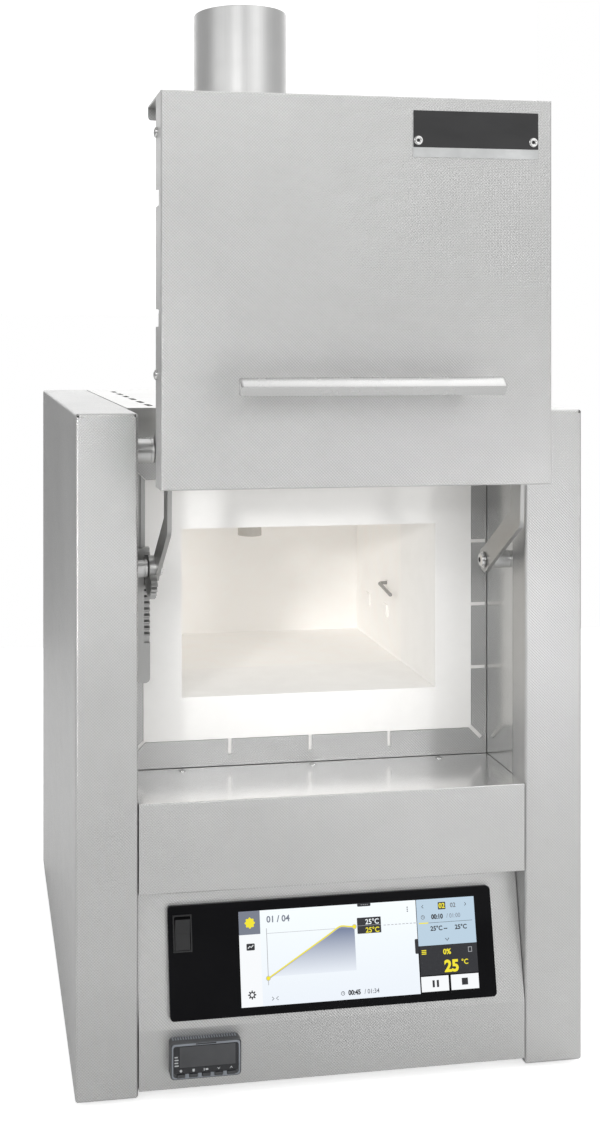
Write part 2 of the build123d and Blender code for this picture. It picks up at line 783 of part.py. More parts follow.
def half_tooth_angle(radius, base, pitch_radius, half_tooth):
    """Half angle of an involute tooth at a radius."""
    def roll(r):
        ratio = max(r, base) / base
        return tan_from(ratio) - atan2(tan_from(ratio), 1.0)
    return half_tooth / pitch_radius + roll(pitch_radius) - roll(radius)


def tan_from(ratio):
    """Tangent of the involute's pressure angle where radius over base radius is ratio."""
    return max(ratio * ratio - 1.0, 0.0) ** 0.5


def sector_body(radius, start, span):
    """Plain sector of the root circle."""
    a0, a1 = radians(start), radians(start + span)
    middle = (a0 + a1) / 2
    edge = Line((0, 0), (radius * cos(a0), radius * sin(a0)))
    arc = ThreePointArc(edge @ 1, (radius * cos(middle), radius * sin(middle)),
                        (radius * cos(a1), radius * sin(a1)))
    closing = Line(arc @ 1, (0, 0))
    return make_face([edge, arc, closing])


def rack_bottom():
    """Lower end of the rack with the door raised."""
    return lower_pin_height - rack_travel - rack_run_out - rack_tail


def rack():
    """Left-hand rack: teeth beside a plain strip, a rounded lower end, a lug for the spring."""
    pitch = pi * gear_module
    tip_y = rack_pitch_y - gear_module
    low = rack_bottom()
    teeth_low = low + rack_tail
    top = lower_pin_height + 2.5 * pitch
    part = block(-rack_outer, -rack_inner, rack_root_y, rack_back_y, low, top)
    part += block(-rack_outer, -rack_inner, tip_y, rack_root_y, low, teeth_low)
    part += block(-rack_outer, -rack_inner - gear_width, tip_y, rack_root_y, low, top)
    lower_edges = part.edges().filter_by(Axis.Y).group_by(Axis.Z)[0]
    part = fillet(lower_edges, 4.0)
    lean = tan(radians(pressure_angle))
    half_pitch_width = (pitch / 2 - tooth_backlash) / 2
    tip_half = half_pitch_width - gear_module * lean
    root_half = half_pitch_width + (gear_module + tip_clearance) * lean
    index = int((teeth_low - lower_pin_height) / pitch) - 1
    while (index + 0.5) * pitch + root_half + lower_pin_height < top:
        z = lower_pin_height + (index + 0.5) * pitch
        index += 1
        if z - root_half < teeth_low:
            continue
        face = Plane.YZ * Polygon((tip_y, z - tip_half), (tip_y, z + tip_half),
                                  (rack_root_y + 0.2, z + root_half + 0.2 * lean),
                                  (rack_root_y + 0.2, z - root_half - 0.2 * lean), align=None)
        tooth = extrude(face, amount=gear_width + 0.2, dir=(1, 0, 0))
        part += Pos(-rack_inner - gear_width - 0.2, 0, 0) * tooth
    groove = guide_tongue / 2 + guide_gap
    middle = -(rack_inner + rack_outer) / 2
    part -= block(middle - groove, middle + groove,
                  rack_back_y - guide_tongue_depth - guide_gap, rack_back_y + 1, low - 1, top + 1)
    lug_end = inner_half + 2 * spring_radius + sheet + 2
    part += block(-lug_end, -rack_outer + 0.5, rack_root_y + 0.5, rack_back_y - 0.5,
                  low + lug_rise, low + lug_rise + lug_height)
    return part


def rack_guide():
    """Rail on the face frame that the rack slides on."""
    low = rack_bottom() + 6
    high = lower_pin_height + rack_travel + 14
    y0 = rack_back_y + guide_gap
    middle = -(rack_inner + rack_outer) / 2
    part = block(-rack_outer, middle + guide_tongue / 2, y0, frame_front, low, high)
    part += block(middle - guide_tongue / 2, middle + guide_tongue / 2,
                  y0 - guide_tongue_depth, y0, low, high)
    corner = part.edges().filter_by(Axis.Y).group_by(Axis.Z)[-1].sort_by(Axis.X)[-1]
    return chamfer(corner, guide_corner)


def spring_place():
    """X, Y and lower Z of the counterbalance spring inside the left side cover."""
    x = -(inner_half + sheet + spring_radius + spring_wire + 0.6)
    y = (rack_root_y + rack_back_y) / 2
    return x, y, rack_bottom() + lug_rise - spring_length


def counterbalance_spring():
    """Extension spring that pulls the rack down and so helps to lift the door."""
    x, y, z = spring_place()
    pitch = spring_length / spring_turns
    coil = Helix(pitch, spring_length - 2 * spring_wire, spring_radius)
    section = Plane(origin=coil @ 0, z_dir=coil % 0) * Circle(spring_wire)
    part = sweep(section, coil)
    return Pos(x, y, z + spring_wire) * part


def spring_anchor():
    """Bracket on the left inner wall that holds the spring's lower end."""
    x, y, z = spring_place()
    x1 = -(inner_half + sheet)
    part = block(x - spring_radius, x1, y - 5, y + 5, z - 2.5, z)
    part += block(x1 - 2, x1, y - 5, y + 5, z - 16, z - 2.5)
    return part


# ---------------------------------------------------------------- door
def door_skin():
    """Outer door sheet with notched side flanges and a deep roof with a turned-down lip."""
    x0 = door_half
    y0 = door_front
    part = block(-x0, x0, y0, y0 + sheet, door_bottom, door_top)
    flange = block(x0 - sheet, x0, y0, y0 + door_flange, door_bottom, door_top)
    for rise in notch_rises:
        z = door_bottom + rise
        flange -= block(x0 - sheet - 1, x0 + 1, y0 + door_flange - notch_depth,
                        y0 + door_flange + 1, z - notch_height / 2, z + notch_height / 2)
    part += flange
    part += other_side(flange)
    part += block(-x0, x0, y0, y0 + door_flange, door_bottom, door_bottom + sheet)
    part += block(-x0, x0, y0, y0 + door_roof, door_top - sheet, door_top)
    lip = block(-x0, x0, y0 + door_roof - sheet, y0 + door_roof,
                door_top - door_roof_lip, door_top)
    lip = fillet(lip.edges().filter_by(Axis.Y).group_by(Axis.Z)[0], 3.0)
    part += lip
    front_edges = part.faces().sort_by(Axis.Y)[0].edges()
    part = fillet(front_edges, 1.2)
    for rise in door_screw_rises:
        hole = rod_x(door_screw_radius / 2, x0 - 3, x0 + 3, y0 + door_flange - door_screw_inset,
                     door_bottom + rise)
        part -= hole
        part -= other_side(hole)
    return part


def door_screws():
    """Pan-head screws in the door's side flanges, with spacers to the pan."""
    screws = []
    y = door_front + door_flange - door_screw_inset
    for rise in door_screw_rises:
        z = door_bottom + rise
        head = rod_x(door_screw_radius, door_half, door_half + 2.4, y, z)
        head = fillet(head.faces().sort_by(Axis.X)[-1].edges(), 1.5)
        shank = rod_x(door_screw_radius / 2 - pivot_clearance, pan_half_width, door_half, y, z)
        screws.append(head + shank)
    return Compound(children=screws + [other_side(screw) for screw in screws])


def door_pan():
    """Inner steel pan that holds the door's insulation and carries the pivot studs."""
    y0, y1 = door_front + sheet, door_front + pan_depth
    z0, z1 = door_bottom + pan_margin, door_top - pan_margin - door_roof_lip
    part = block(-pan_half_width, pan_half_width, y0, y1, z0, z1)
    part -= block(-pan_half_width + sheet, pan_half_width - sheet, y0 + sheet, y1 + 1,
                  z0 + sheet, z1 - sheet)
    return part


def door_insulation():
    """Fibre plug that closes the mouth, standing a little out of the pan."""
    y0, y1 = door_front + 2 * sheet, door_front + pan_depth + plug_proud
    z0 = door_bottom + pan_margin + sheet
    z1 = door_top - pan_margin - door_roof_lip - sheet
    half = pan_half_width - sheet
    part = block(-half, half, y0, y1, z0, z1)
    return chamfer(part.faces().sort_by(Axis.Y)[-1].edges(), plug_proud - 0.5)


def door_stud(height, arm_face):
    """Right-hand stud on the pan; the arm's inner face is at arm_face."""
    x0, x1 = arm_face - running_gap, arm_face + arm_thickness + running_gap
    part = rod_x(pivot_radius + stud_shoulder, pan_half_width, x0, stud_y, height)
    part += rod_x(pivot_radius, x0, x1, stud_y, height)
    part += rod_x(stud_head_radius, x1, x1 + stud_head_thickness, stud_y, height)
    return part


def handle_bar():
    """Chamfered handle bar across the door."""
    y1 = door_front - handle_standoff
    z = door_bottom + handle_rise
    half = handle_length / 2
    part = block(-half, half, y1 - handle_depth, y1, z - handle_height / 2, z + handle_height / 2)
    front = part.edges().filter_by(Axis.X).group_by(Axis.Y)[0]
    part = chamfer(front, handle_chamfer)
    return part


def handle_posts():
    """Two round posts between the handle bar and the door."""
    x = handle_length / 2 - handle_post_inset
    z = door_bottom + handle_rise
    post = rod_y(handle_post_radius, door_front - handle_standoff, door_front, x, z)
    return both_sides(post)


# ---------------------------------------------------------------- controls
def rocker_centre():
    """Middle of the mains switch on the sloping plane: across, up the slope."""
    return (-glass_width / 2 + rocker_side, glass_rise + glass_height - rocker_drop)


def touch_glass():
    """Flat glass of the touch controller with the opening for the mains switch."""
    sheet_outline = RectangleRounded(glass_width, glass_height, 3.0)
    x, s = rocker_centre()
    y = glass_rise + glass_height / 2
    opening = Pos(x, s - y) * Rectangle(rocker_width + 2 * rocker_border,
                                        rocker_height + 2 * rocker_border)
    plate = extrude(Plane.XZ * (sheet_outline - opening), amount=glass_thickness)
    plate = Pos(0, 0, y) * plate
    return slope(plate)


def controller_body():
    """Plastic body of the controller behind the glass, with a well for the switch."""
    border = controller_border + 0.3
    half = glass_width / 2 - controller_side_border - 0.3
    part = block(-half, half, 0, controller_depth,
                 glass_rise + border, glass_rise + glass_height - border)
    x, s = rocker_centre()
    part -= block(x - rocker_width / 2 - rocker_border, x + rocker_width / 2 + rocker_border,
                  -1, 15, s - rocker_height / 2 - rocker_border,
                  s + rocker_height / 2 + rocker_border)
    return slope(part)


def switch_frame():
    """Frame and well of the mains switch."""
    x, s = rocker_centre()
    w, h = rocker_width / 2 + rocker_border - 0.1, rocker_height / 2 + rocker_border - 0.1
    part = block(x - w, x + w, -glass_thickness - 0.6, 14.8, s - h, s + h)
    gap = 0.3
    part -= block(x - rocker_width / 2 - gap, x + rocker_width / 2 + gap, -glass_thickness - 1,
                  12, s - rocker_height / 2 - gap, s + rocker_height / 2 + gap)
    return slope(part)


def power_rocker():
    """Rocker of the mains switch, pressed in at its lower end."""
    x, s = rocker_centre()
    half = rocker_height / 2 - 0.6
    top, dip, deep = -glass_thickness - 2.0, -glass_thickness + 0.2, 7.0
    points = [(top, half), (dip, 0), (top, -half), (3.0, -half), (deep, -3.0),
              (deep, 3.0), (3.0, half)]
    face = Plane.YZ * Polygon(*points, align=None)
    part = extrude(face, amount=(rocker_width - 0.4) / 2, both=True)
    return slope(Pos(x, 0, s) * Rot(rocker_tilt, 0, 0) * part)


def limiter_window():
    """Left, right, bottom and top of the limiter's display window."""
    return (limiter_left + limiter_rim, limiter_left + limiter_width - limiter_rim,
            limiter_bottom + limiter_sill, limiter_bottom + limiter_height - limiter_rim)


def limiter_housing():
    """Over-temperature limiter in the plinth: bezel, body and key openings."""
    x0, x1 = limiter_left, limiter_left + limiter_width
    z0, z1 = limiter_bottom, limiter_bottom + limiter_height
    part = block(x0, x1, -limiter_proud, 0, z0, z1)
    part = fillet(part.edges().filter_by(Axis.Y), 3.0)
    part = chamfer(part.faces().sort_by(Axis.Y)[0].edges(), 0.8)
    part += block(x0 + limiter_border, x1 - limiter_border, 0, limiter_body,
                  z0 + limiter_border, z1 - limiter_border)
    wx0, wx1, wz0, wz1 = limiter_window()
    part -= block(wx0, wx1, -limiter_proud - 1, -limiter_proud + 1.2, wz0, wz1)
    for x, z in button_places():
        w, h = button_width / 2 + button_gap, button_height / 2 + button_gap
        part -= block(x - w, x + w, -limiter_proud - 1, -limiter_proud + 6, z - h, z + h)
    return part


def limiter_display():
    """Dark window of the limiter's display."""
    x0, x1, z0, z1 = limiter_window()
    return block(x0, x1, -limiter_proud + 0.2, -limiter_proud + 1.2, z0, z1)


def button_places():
    """Centres of the limiter's keys."""
    first = limiter_left + limiter_width / 2 - (button_count - 1) / 2 * button_pitch
    z = limiter_bottom + button_rise
    return [(first + i * button_pitch, z) for i in range(button_count)]


def limiter_button(x, z):
    """One key of the limiter."""
    y0 = -limiter_proud - 1.2
    part = block(x - button_width / 2, x + button_width / 2, y0, -limiter_proud + 4,
                 z - button_height / 2, z + button_height / 2)
    return chamfer(part.faces().sort_by(Axis.Y)[0].edges(), 0.4)


def power_module():
    """Solid-state switch for the heating on its finned heat sink, on the base pan."""
    z0 = plinth_bottom + sheet
    y1 = module_front + module_length
    part = block(-module_half_width, module_half_width, module_front, y1, z0, z0 + module_base)
    for i in range(fin_count):
        x = (i - (fin_count - 1) / 2) * fin_pitch
        part += block(x - 1, x + 1, module_front, y1, z0 + module_base, z0 + module_height)
    return part


def terminal_block():
    """Mains terminals behind the inlet."""
    z0 = plinth_bottom + sheet
    x1 = panel_half - terminal_side
    x0 = x1 - terminal_count * terminal_pitch - 1
    y0 = body_depth - terminal_setback - terminal_depth
    part = block(x0, x1, y0, y0 + terminal_depth, z0, z0 + terminal_height)
    for i in range(terminal_count):
        x = x0 + (i + 0.5) * terminal_pitch + 0.5
        part -= rod_z(3, z0 + terminal_height - 10, z0 + terminal_height + 1, x,
                      y0 + terminal_depth / 2)
    return part


# ---------------------------------------------------------------- write the sub-parts
def main():
    """Build and write every sub-part."""
    os.makedirs("parts", exist_ok=True)
    save(other_side(side_cover()), "left_side_cover")
    save(side_cover(), "right_side_cover")
    save(left_inner_wall(), "left_inner_wall")
    save(right_inner_wall(), "right_inner_wall")
    save(top_cover(), "top_cover")
    save(face_frame(), "face_frame")
    save(rear_panel(), "rear_panel")
    save(mains_inlet(), "mains_inlet")
    save(base_pan(), "base_pan")
    save(feet(), "feet")
    save(ledge(), "ledge")
    save(ledge_screws(), "ledge_screws")
    save(front_panel(), "front_panel")
    save(fibre_collar(), "fibre_collar")
    save(muffle(), "muffle")
    save(other_side(heating_plate()), "left_heating_plate")
    save(right_heating_plate(), "right_heating_plate")
    save(lining(), "lining")
    save(thermocouple(), "thermocouple")
    save(element_clips(), "element_clips")
    save(vent_tube(), "vent_tube")
    save(flue_box(), "flue_box")
    save(chimney(), "chimney")
    save(chimney_screws(), "chimney_screws")
    save(other_side(lower_arm()), "lower_left_arm")
    save(lower_arm(), "lower_right_arm")
    save(other_side(upper_arm()), "upper_left_arm")
    save(upper_arm(), "upper_right_arm")
    bushes = [left_lower_bush(), pivot_bush(lower_pin_height, lower_bush_radius)]
    save(Compound(children=bushes), "lower_bushes")
    save(both_sides(pivot_bush(upper_pin_height, upper_bush_radius)), "upper_bushes")
    caps = [both_sides(pivot_cap(z)) for z in (lower_pin_height, upper_pin_height)]
    save(Compound(children=caps), "pivot_caps")
    save(gear_sector(), "gear_sector")
    save(rack(), "rack")
    save(rack_guide(), "rack_guide")
    save(counterbalance_spring(), "counterbalance_spring")
    save(spring_anchor(), "spring_anchor")
    save(door_skin(), "door_skin")
    save(door_pan(), "door_pan")
    save(door_insulation(), "door_insulation")
    save(door_screws(), "door_screws")
    save(both_sides(door_stud(lower_stud_z, arm_inner)), "lower_door_studs")
    save(both_sides(door_stud(upper_stud_z, arm_inner - joggle_depth)), "upper_door_studs")
    save(handle_bar(), "handle_bar")
    save(handle_posts(), "handle_posts")
    save(touch_glass(), "touch_glass")
    save(controller_body(), "controller_body")
    save(switch_frame(), "switch_frame")
    save(power_rocker(), "power_rocker")
    save(limiter_housing(), "limiter_housing")
    save(limiter_display(), "limiter_display")
    for number, (x, z) in enumerate(button_places(), start=1):
        save(limiter_button(x, z), f"limiter_button_{number}")
    save(power_module(), "power_module")
    save(terminal_block(), "terminal_block")


main()
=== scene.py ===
"""Muffle furnace: finishes and fine pieces around the fixed CAD frame, in metres, +Z up."""
import json
import math

import bmesh
import bpy
import numpy as np
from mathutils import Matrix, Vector


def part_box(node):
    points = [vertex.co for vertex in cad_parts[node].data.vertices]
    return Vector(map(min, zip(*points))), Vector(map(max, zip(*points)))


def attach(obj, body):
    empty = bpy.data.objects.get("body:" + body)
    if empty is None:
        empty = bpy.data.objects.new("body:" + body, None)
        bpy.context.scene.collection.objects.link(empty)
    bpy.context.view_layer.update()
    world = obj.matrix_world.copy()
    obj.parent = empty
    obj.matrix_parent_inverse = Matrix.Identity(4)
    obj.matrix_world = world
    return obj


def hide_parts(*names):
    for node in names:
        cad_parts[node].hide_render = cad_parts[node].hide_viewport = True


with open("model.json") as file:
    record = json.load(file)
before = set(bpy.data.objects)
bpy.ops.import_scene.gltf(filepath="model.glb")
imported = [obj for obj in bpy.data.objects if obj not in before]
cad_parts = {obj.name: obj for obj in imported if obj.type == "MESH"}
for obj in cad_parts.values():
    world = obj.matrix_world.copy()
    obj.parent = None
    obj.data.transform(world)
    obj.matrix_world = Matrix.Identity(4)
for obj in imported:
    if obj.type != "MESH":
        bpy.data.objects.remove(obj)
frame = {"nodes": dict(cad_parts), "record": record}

bl_info = {
    "name": "Muffle furnace",
    "version": (1, 0, 0),
    "blender": (4, 5, 0),
    "location": "View3D > Sidebar > Furnace",
    "description": "Finishes, turned parts and the lit controller of a bench-top muffle furnace",
    "category": "Object",
}

MM = 0.001
TURN = 2 * math.pi
IMAGE = (600, 1131)              # assumed size of the picture in pixels


def box_of(node):
    """Lowest and highest corner of a CAD node as arrays."""
    low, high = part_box(node)
    return np.array(low), np.array(high)


FRONT = float(box_of("left_side_cover")[0][1])      # front plane of the side covers
CREASE = 51 * MM                                    # fold between plinth and sloping panel
HALF_WIDTH = float(box_of("right_side_cover")[1][0])


# ---------------------------------------------------------------- sizes and colours
def length(name, description, default):
    """Property for a length in metres."""
    return bpy.props.FloatProperty(name=name, description=description, default=default,
                                   unit="LENGTH", precision=6)


def tint(name, description, default):
    """Property for a linear colour."""
    return bpy.props.FloatVectorProperty(name=name, description=description, default=default,
                                         subtype="COLOR", size=3)


class FurnaceSizes(bpy.types.PropertyGroup):
    """Sizes of the fine pieces."""

    linen_pitch: length("Linen pitch", "Spacing of the embossed linen pattern", 2.2 * MM)
    linen_depth: length("Linen depth", "Height of the embossed linen pattern", 0.25 * MM)
    panel_lean: bpy.props.FloatProperty(
        name="Panel lean", description="Backward lean of the control panel",
        default=math.radians(10.62), subtype="ANGLE")
    glass_rise: length("Glass rise", "Lower edge of the glass above the crease", 6.0 * MM)
    glass_height: length("Glass height", "Height of the glass along its slope", 78.5 * MM)
    glass_thickness: length("Glass thickness", "Thickness of the controller's glass", 3 * MM)
    print_depth: length("Print layer", "Step between the layers of the display", 0.02 * MM)
    turned_steps: bpy.props.IntProperty(
        name="Turned steps", description="Facets around turned parts", default=72, min=12)


class FurnaceColours(bpy.types.PropertyGroup):
    """Colours of the finishes, linear."""

    steel: tint("Steel", "Embossed stainless steel", (0.66, 0.66, 0.655))
    smooth_steel: tint("Smooth steel", "Plain rolled stainless steel", (0.68, 0.68, 0.67))
    fibre: tint("Fibre", "White ceramic fibre", (0.93, 0.92, 0.90))
    ceramic: tint("Ceramic", "Fired ceramic of the muffle", (0.92, 0.90, 0.87))
    display_yellow: tint("Display yellow", "Active values", (0.90, 0.78, 0.01))
    display_pale: tint("Display pale", "Ground of the display", (0.83, 0.88, 0.95))


def sizes():
    """The scene's sizes."""
    return bpy.context.scene.furnace_sizes


def colours():
    """The scene's colours."""
    return bpy.context.scene.furnace_colours


# ---------------------------------------------------------------- mesh from arrays
def mesh_object(name, points, faces, material=None):
    """Smooth-shaded object at the origin from an array of points and index tuples."""
    mesh = bpy.data.meshes.new(name)
    mesh.from_pydata(np.asarray(points, dtype=float).tolist(), [], faces)
    mesh.validate()
    mesh.update()
    mesh.polygons.foreach_set("use_smooth", np.ones(len(mesh.polygons), dtype=bool))
    obj = bpy.data.objects.new(name, mesh)
    bpy.context.scene.collection.objects.link(obj)
    if material is not None:
        mesh.materials.append(bpy.data.materials[material])
    return obj


def grid_faces(rows, columns, wrap_rows=False, wrap_columns=False):
    """Quads of a grid of points counted row by row, joined round where it wraps."""
    r = np.arange(rows if wrap_rows else rows - 1)
    c = np.arange(columns if wrap_columns else columns - 1)
    rr, cc = np.meshgrid(r, c, indexing="ij")
    r2, c2 = (rr + 1) % rows, (cc + 1) % columns
    quads = np.stack([rr * columns + cc, rr * columns + c2, r2 * columns + c2,
                      r2 * columns + cc], axis=-1)
    return quads.reshape(-1, 4).tolist()


def join_parts(parts):
    """One list of points and faces from several."""
    points, faces, start = [], [], 0
    for part_points, part_faces in parts:
        points.append(np.asarray(part_points, dtype=float).reshape(-1, 3))
        faces += [tuple(i + start for i in face) for face in part_faces]
        start += len(points[-1])
    return np.concatenate(points), faces


def frame_axes(direction):
    """Two unit vectors across a direction, right-handed with it."""
    w = np.array(direction, dtype=float)
    w /= np.linalg.norm(w)
    side = np.array((0.0, 0.0, 1.0)) if abs(w[2]) < 0.9 else np.array((1.0, 0.0, 0.0))
    u = np.cross(side, w)
    u /= np.linalg.norm(u)
    return u, np.cross(w, u), w


def circle(u, v, steps):
    """Unit circle cos a*u + sin a*v, with a from 0 to a full turn."""
    a = np.linspace(0, TURN, steps, endpoint=False)
    return np.cos(a)[:, None] * u + np.sin(a)[:, None] * v


def turned(profile, centre, direction, steps, closed=False):
    """Surface of revolution: a profile of (radius, height) carried round an axis.

    A point is centre + height*w + radius*(cos a*u + sin a*v) with a from 0 to a full turn.
    An open profile ends in two flat fans; a closed one joins its last point to its first.
    """
    profile = np.array(profile, dtype=float)
    u, v, w = frame_axes(direction)
    radius, height = profile[:, 0], profile[:, 1]
    points = (np.array(centre) + height[:, None, None] * w
              + radius[:, None, None] * circle(u, v, steps))
    rows = len(profile)
    faces = grid_faces(rows, steps, closed, True)
    if not closed:
        faces += [tuple(reversed(range(steps))), tuple(range((rows - 1) * steps, rows * steps))]
    return points.reshape(-1, 3), faces


def rounded_rectangle(width, height, radius, steps=6):
    """Outline about the origin: quarter circles at the corners, anticlockwise."""
    a = np.linspace(0, TURN / 4, steps)
    corners = []
    for k, (sx, sy) in enumerate(((1, 1), (-1, 1), (-1, -1), (1, -1))):
        angle = a + k * TURN / 4
        corners.append(np.stack([sx * (width / 2 - radius) + radius * np.cos(angle),
                                 sy * (height / 2 - radius) + radius * np.sin(angle)], axis=1))
    return np.concatenate(corners)


def solid(front, back):
    """Body between two flat outlines of as many points: its sides, front and back."""
    n = len(front)
    i = np.arange(n)
    sides = np.stack([i, i + n, (i + 1) % n + n, (i + 1) % n], axis=1).tolist()
    return (np.concatenate([front, back]),
            sides + [tuple(range(n)), tuple(reversed(range(n, 2 * n)))])


def prism(outline, centre, across, up, depth):
    """Flat outline of (u, v) points carried from the centre plane along -(across x up)."""
    outline = np.array(outline, dtype=float)
    across, up = np.array(across, dtype=float), np.array(up, dtype=float)
    face = np.array(centre) + outline[:, :1] * across + outline[:, 1:] * up
    return solid(face, face - depth * np.cross(across, up))


def tube(path, radius, steps=16):
    """Round tube about a line of points: circles across the line's own direction."""
    path = np.array(path, dtype=float)
    along = np.gradient(path, axis=0)
    along /= np.linalg.norm(along, axis=1, keepdims=True)
    side = np.cross(along, np.array((0.0, 0.0, 1.0)))
    weak = np.linalg.norm(side, axis=1) < 0.1
    side[weak] = np.cross(along[weak], np.array((1.0, 0.0, 0.0)))
    side /= np.linalg.norm(side, axis=1, keepdims=True)
    other = np.cross(side, along)
    a = np.linspace(0, TURN, steps, endpoint=False)
    ring = (np.cos(a)[None, :, None] * side[:, None, :]
            + np.sin(a)[None, :, None] * other[:, None, :])
    points = path[:, None, :] + radius * ring
    rows = len(path)
    faces = grid_faces(rows, steps, wrap_columns=True)
    return (points.reshape(-1, 3),
            [tuple(reversed(f)) for f in faces]
            + [tuple(range(steps)), tuple(reversed(range((rows - 1) * steps, rows * steps)))])


def make(name, parts, material, body="casing", sharp=35, node=None):
    """Finished piece from point and face lists, riding on a body.

    Doubled points are merged, faces turned outwards and edges that turn by more than the
    angle marked sharp. The piece may stand for a node, whose CAD mesh is then hidden.
    """
    obj = mesh_object(name, *join_parts(parts), material)
    shape = bmesh.new()
    shape.from_mesh(obj.data)
    bmesh.ops.remove_doubles(shape, verts=shape.verts, dist=1e-7)
    bmesh.ops.recalc_face_normals(shape, faces=shape.faces)
    shape.to_mesh(obj.data)
    shape.free()
    obj.data.set_sharp_from_angle(angle=math.radians(sharp))
    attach(obj, body)
    if node is not None:
        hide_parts(node)


# ---------------------------------------------------------------- shader groups
def group_shell(name, inputs, outputs):
    """Empty node group: a tuple or None stands for a vector input, a number for a float one."""
    tree = bpy.data.node_groups.new(name, "ShaderNodeTree")
    for label, default in inputs.items():
        kind = "NodeSocketFloat" if isinstance(default, float) else "NodeSocketVector"
        socket = tree.interface.new_socket(name=label, in_out="INPUT", socket_type=kind)
        if default is not None:
            socket.default_value = default
    for label in outputs:
        tree.interface.new_socket(name=label, in_out="OUTPUT", socket_type="NodeSocketFloat")
    return tree, tree.nodes.new("NodeGroupInput").outputs, tree.nodes.new("NodeGroupOutput")


def wire(tree, node, values):
    """Link inputs of a node to sockets, or set them to a number, a vector or a colour."""
    for label, value in values.items():
        socket = node.inputs[label]
        if isinstance(value, (int, float)):
            socket.default_value = value
        elif isinstance(value, (tuple, list)):
            socket.default_value = (*value[:3], 1.0) if socket.type == "RGBA" else value
        else:
            tree.links.new(value, socket)
    return node


def calc(tree, operation, *values):
    """Math node whose inputs are sockets or numbers; returns its output socket."""
    node = tree.nodes.new("ShaderNodeMath")
    node.operation = operation
    return wire(tree, node, dict(enumerate(values))).outputs[0]


def times(tree, first, second):
    """Product of two sockets or numbers."""
    return calc(tree, "MULTIPLY", first, second)


def noise(tree, vector, scale, detail=3.0, roughness=0.5, stretch=None):
    """Noise texture on a vector socket, optionally stretched by a scale per axis."""
    if stretch is not None:
        mapping = tree.nodes.new("ShaderNodeMapping")
        vector = wire(tree, mapping, {"Scale": stretch, "Vector": vector}).outputs[0]
    node = wire(tree, tree.nodes.new("ShaderNodeTexNoise"), {
        "Scale": scale, "Detail": detail, "Roughness": roughness, "Vector": vector})
    return node.outputs["Fac"]


def between(tree, value, low, high, new_low=0.0, new_high=1.0):
    """Map Range node from sockets or numbers; returns its output socket."""
    return wire(tree, tree.nodes.new("ShaderNodeMapRange"), {
        "Value": value, "From Min": low, "From Max": high, "To Min": new_low,
        "To Max": new_high}).outputs[0]


def blend_colour(tree, factor, first, second):
    """Mix node for colours; each colour is a socket or three numbers."""
    node = tree.nodes.new("ShaderNodeMix")
    node.data_type = "RGBA"
    return wire(tree, node, {"Factor": factor, "A": first, "B": second}).outputs["Result"]


def shade(colour, factor):
    """Colour made darker or lighter by a factor."""
    return tuple(factor * c for c in colour)


def components(tree, vector):
    """X, Y and Z of a vector socket."""
    return wire(tree, tree.nodes.new("ShaderNodeSeparateXYZ"), {0: vector}).outputs


def linen_group():
    """Embossed linen: sin(a)*sin(b) over the two directions of each flat face."""
    tree, start, end = group_shell("Linen emboss", {
        "Position": None, "Normal": None, "Pitch": 2.8 * MM, "Plain tops": 0.0},
        ["Height", "Plain"])
    facing = components(tree, start["Normal"])
    side, top = (calc(tree, "GREATER_THAN", calc(tree, "ABSOLUTE", facing[axis]), 0.7)
                 for axis in "XZ")
    x, y, z = components(tree, start["Position"])
    first = calc(tree, "ADD", times(tree, x, calc(tree, "SUBTRACT", 1.0, side)),
                 times(tree, y, side))
    second = calc(tree, "ADD", times(tree, z, calc(tree, "SUBTRACT", 1.0, top)),
                  times(tree, y, top))
    rate = calc(tree, "DIVIDE", TURN, start["Pitch"])
    weave = times(tree, calc(tree, "SINE", times(tree, first, rate)),
                  calc(tree, "SINE", times(tree, second, rate)))
    plain = times(tree, top, start["Plain tops"])
    weave = between(tree, weave, -1.0, 1.0)
    wire(tree, end, {"Height": calc(tree, "MAXIMUM", weave, plain), "Plain": plain})


def handling_group():
    """Handling marks and cloudy polish: two scales of noise, as a mask from 0 to 1."""
    tree, start, end = group_shell("Handling marks", {"Position": None, "Scale": 9.0},
                                   ["Mask", "Smears"])
    cloud = noise(tree, start["Position"], start["Scale"], 4.0, 0.55)
    smear = noise(tree, start["Position"], 30.0, 5.0, 0.6, (1.0, 1.0, 3.0))
    wire(tree, end, {"Mask": between(tree, cloud, 0.3, 0.7),
                     "Smears": between(tree, smear, 0.45, 0.7)})


def grain_group():
    """Rolled or ground grain: noise drawn out along one direction."""
    tree, start, end = group_shell("Metal grain", {
        "Position": None, "Stretch": (1.0, 1.0, 1.0), "Scale": 900.0}, ["Height", "Tone"])
    product = tree.nodes.new("ShaderNodeVectorMath")
    product.operation = "MULTIPLY"
    wire(tree, product, {0: start["Position"], 1: start["Stretch"]})
    fine = noise(tree, product.outputs[0], start["Scale"], 3.0, 0.6)
    wire(tree, end, {"Height": fine, "Tone": between(tree, fine, 0.3, 0.7)})


def fibre_group():
    """Felted fibre: fine fuzz over soft lumps, and faint cloudy shade."""
    tree, start, end = group_shell("Fibre felt", {"Position": None, "Scale": 700.0},
                                   ["Height", "Shade"])
    fuzz = noise(tree, start["Position"], start["Scale"], 5.0, 0.7)
    lumps = noise(tree, start["Position"], 60.0, 3.0, 0.5)
    wire(tree, end, {"Height": calc(tree, "ADD", times(tree, fuzz, 0.4), lumps),
                     "Shade": between(tree, lumps, 0.35, 0.65)})


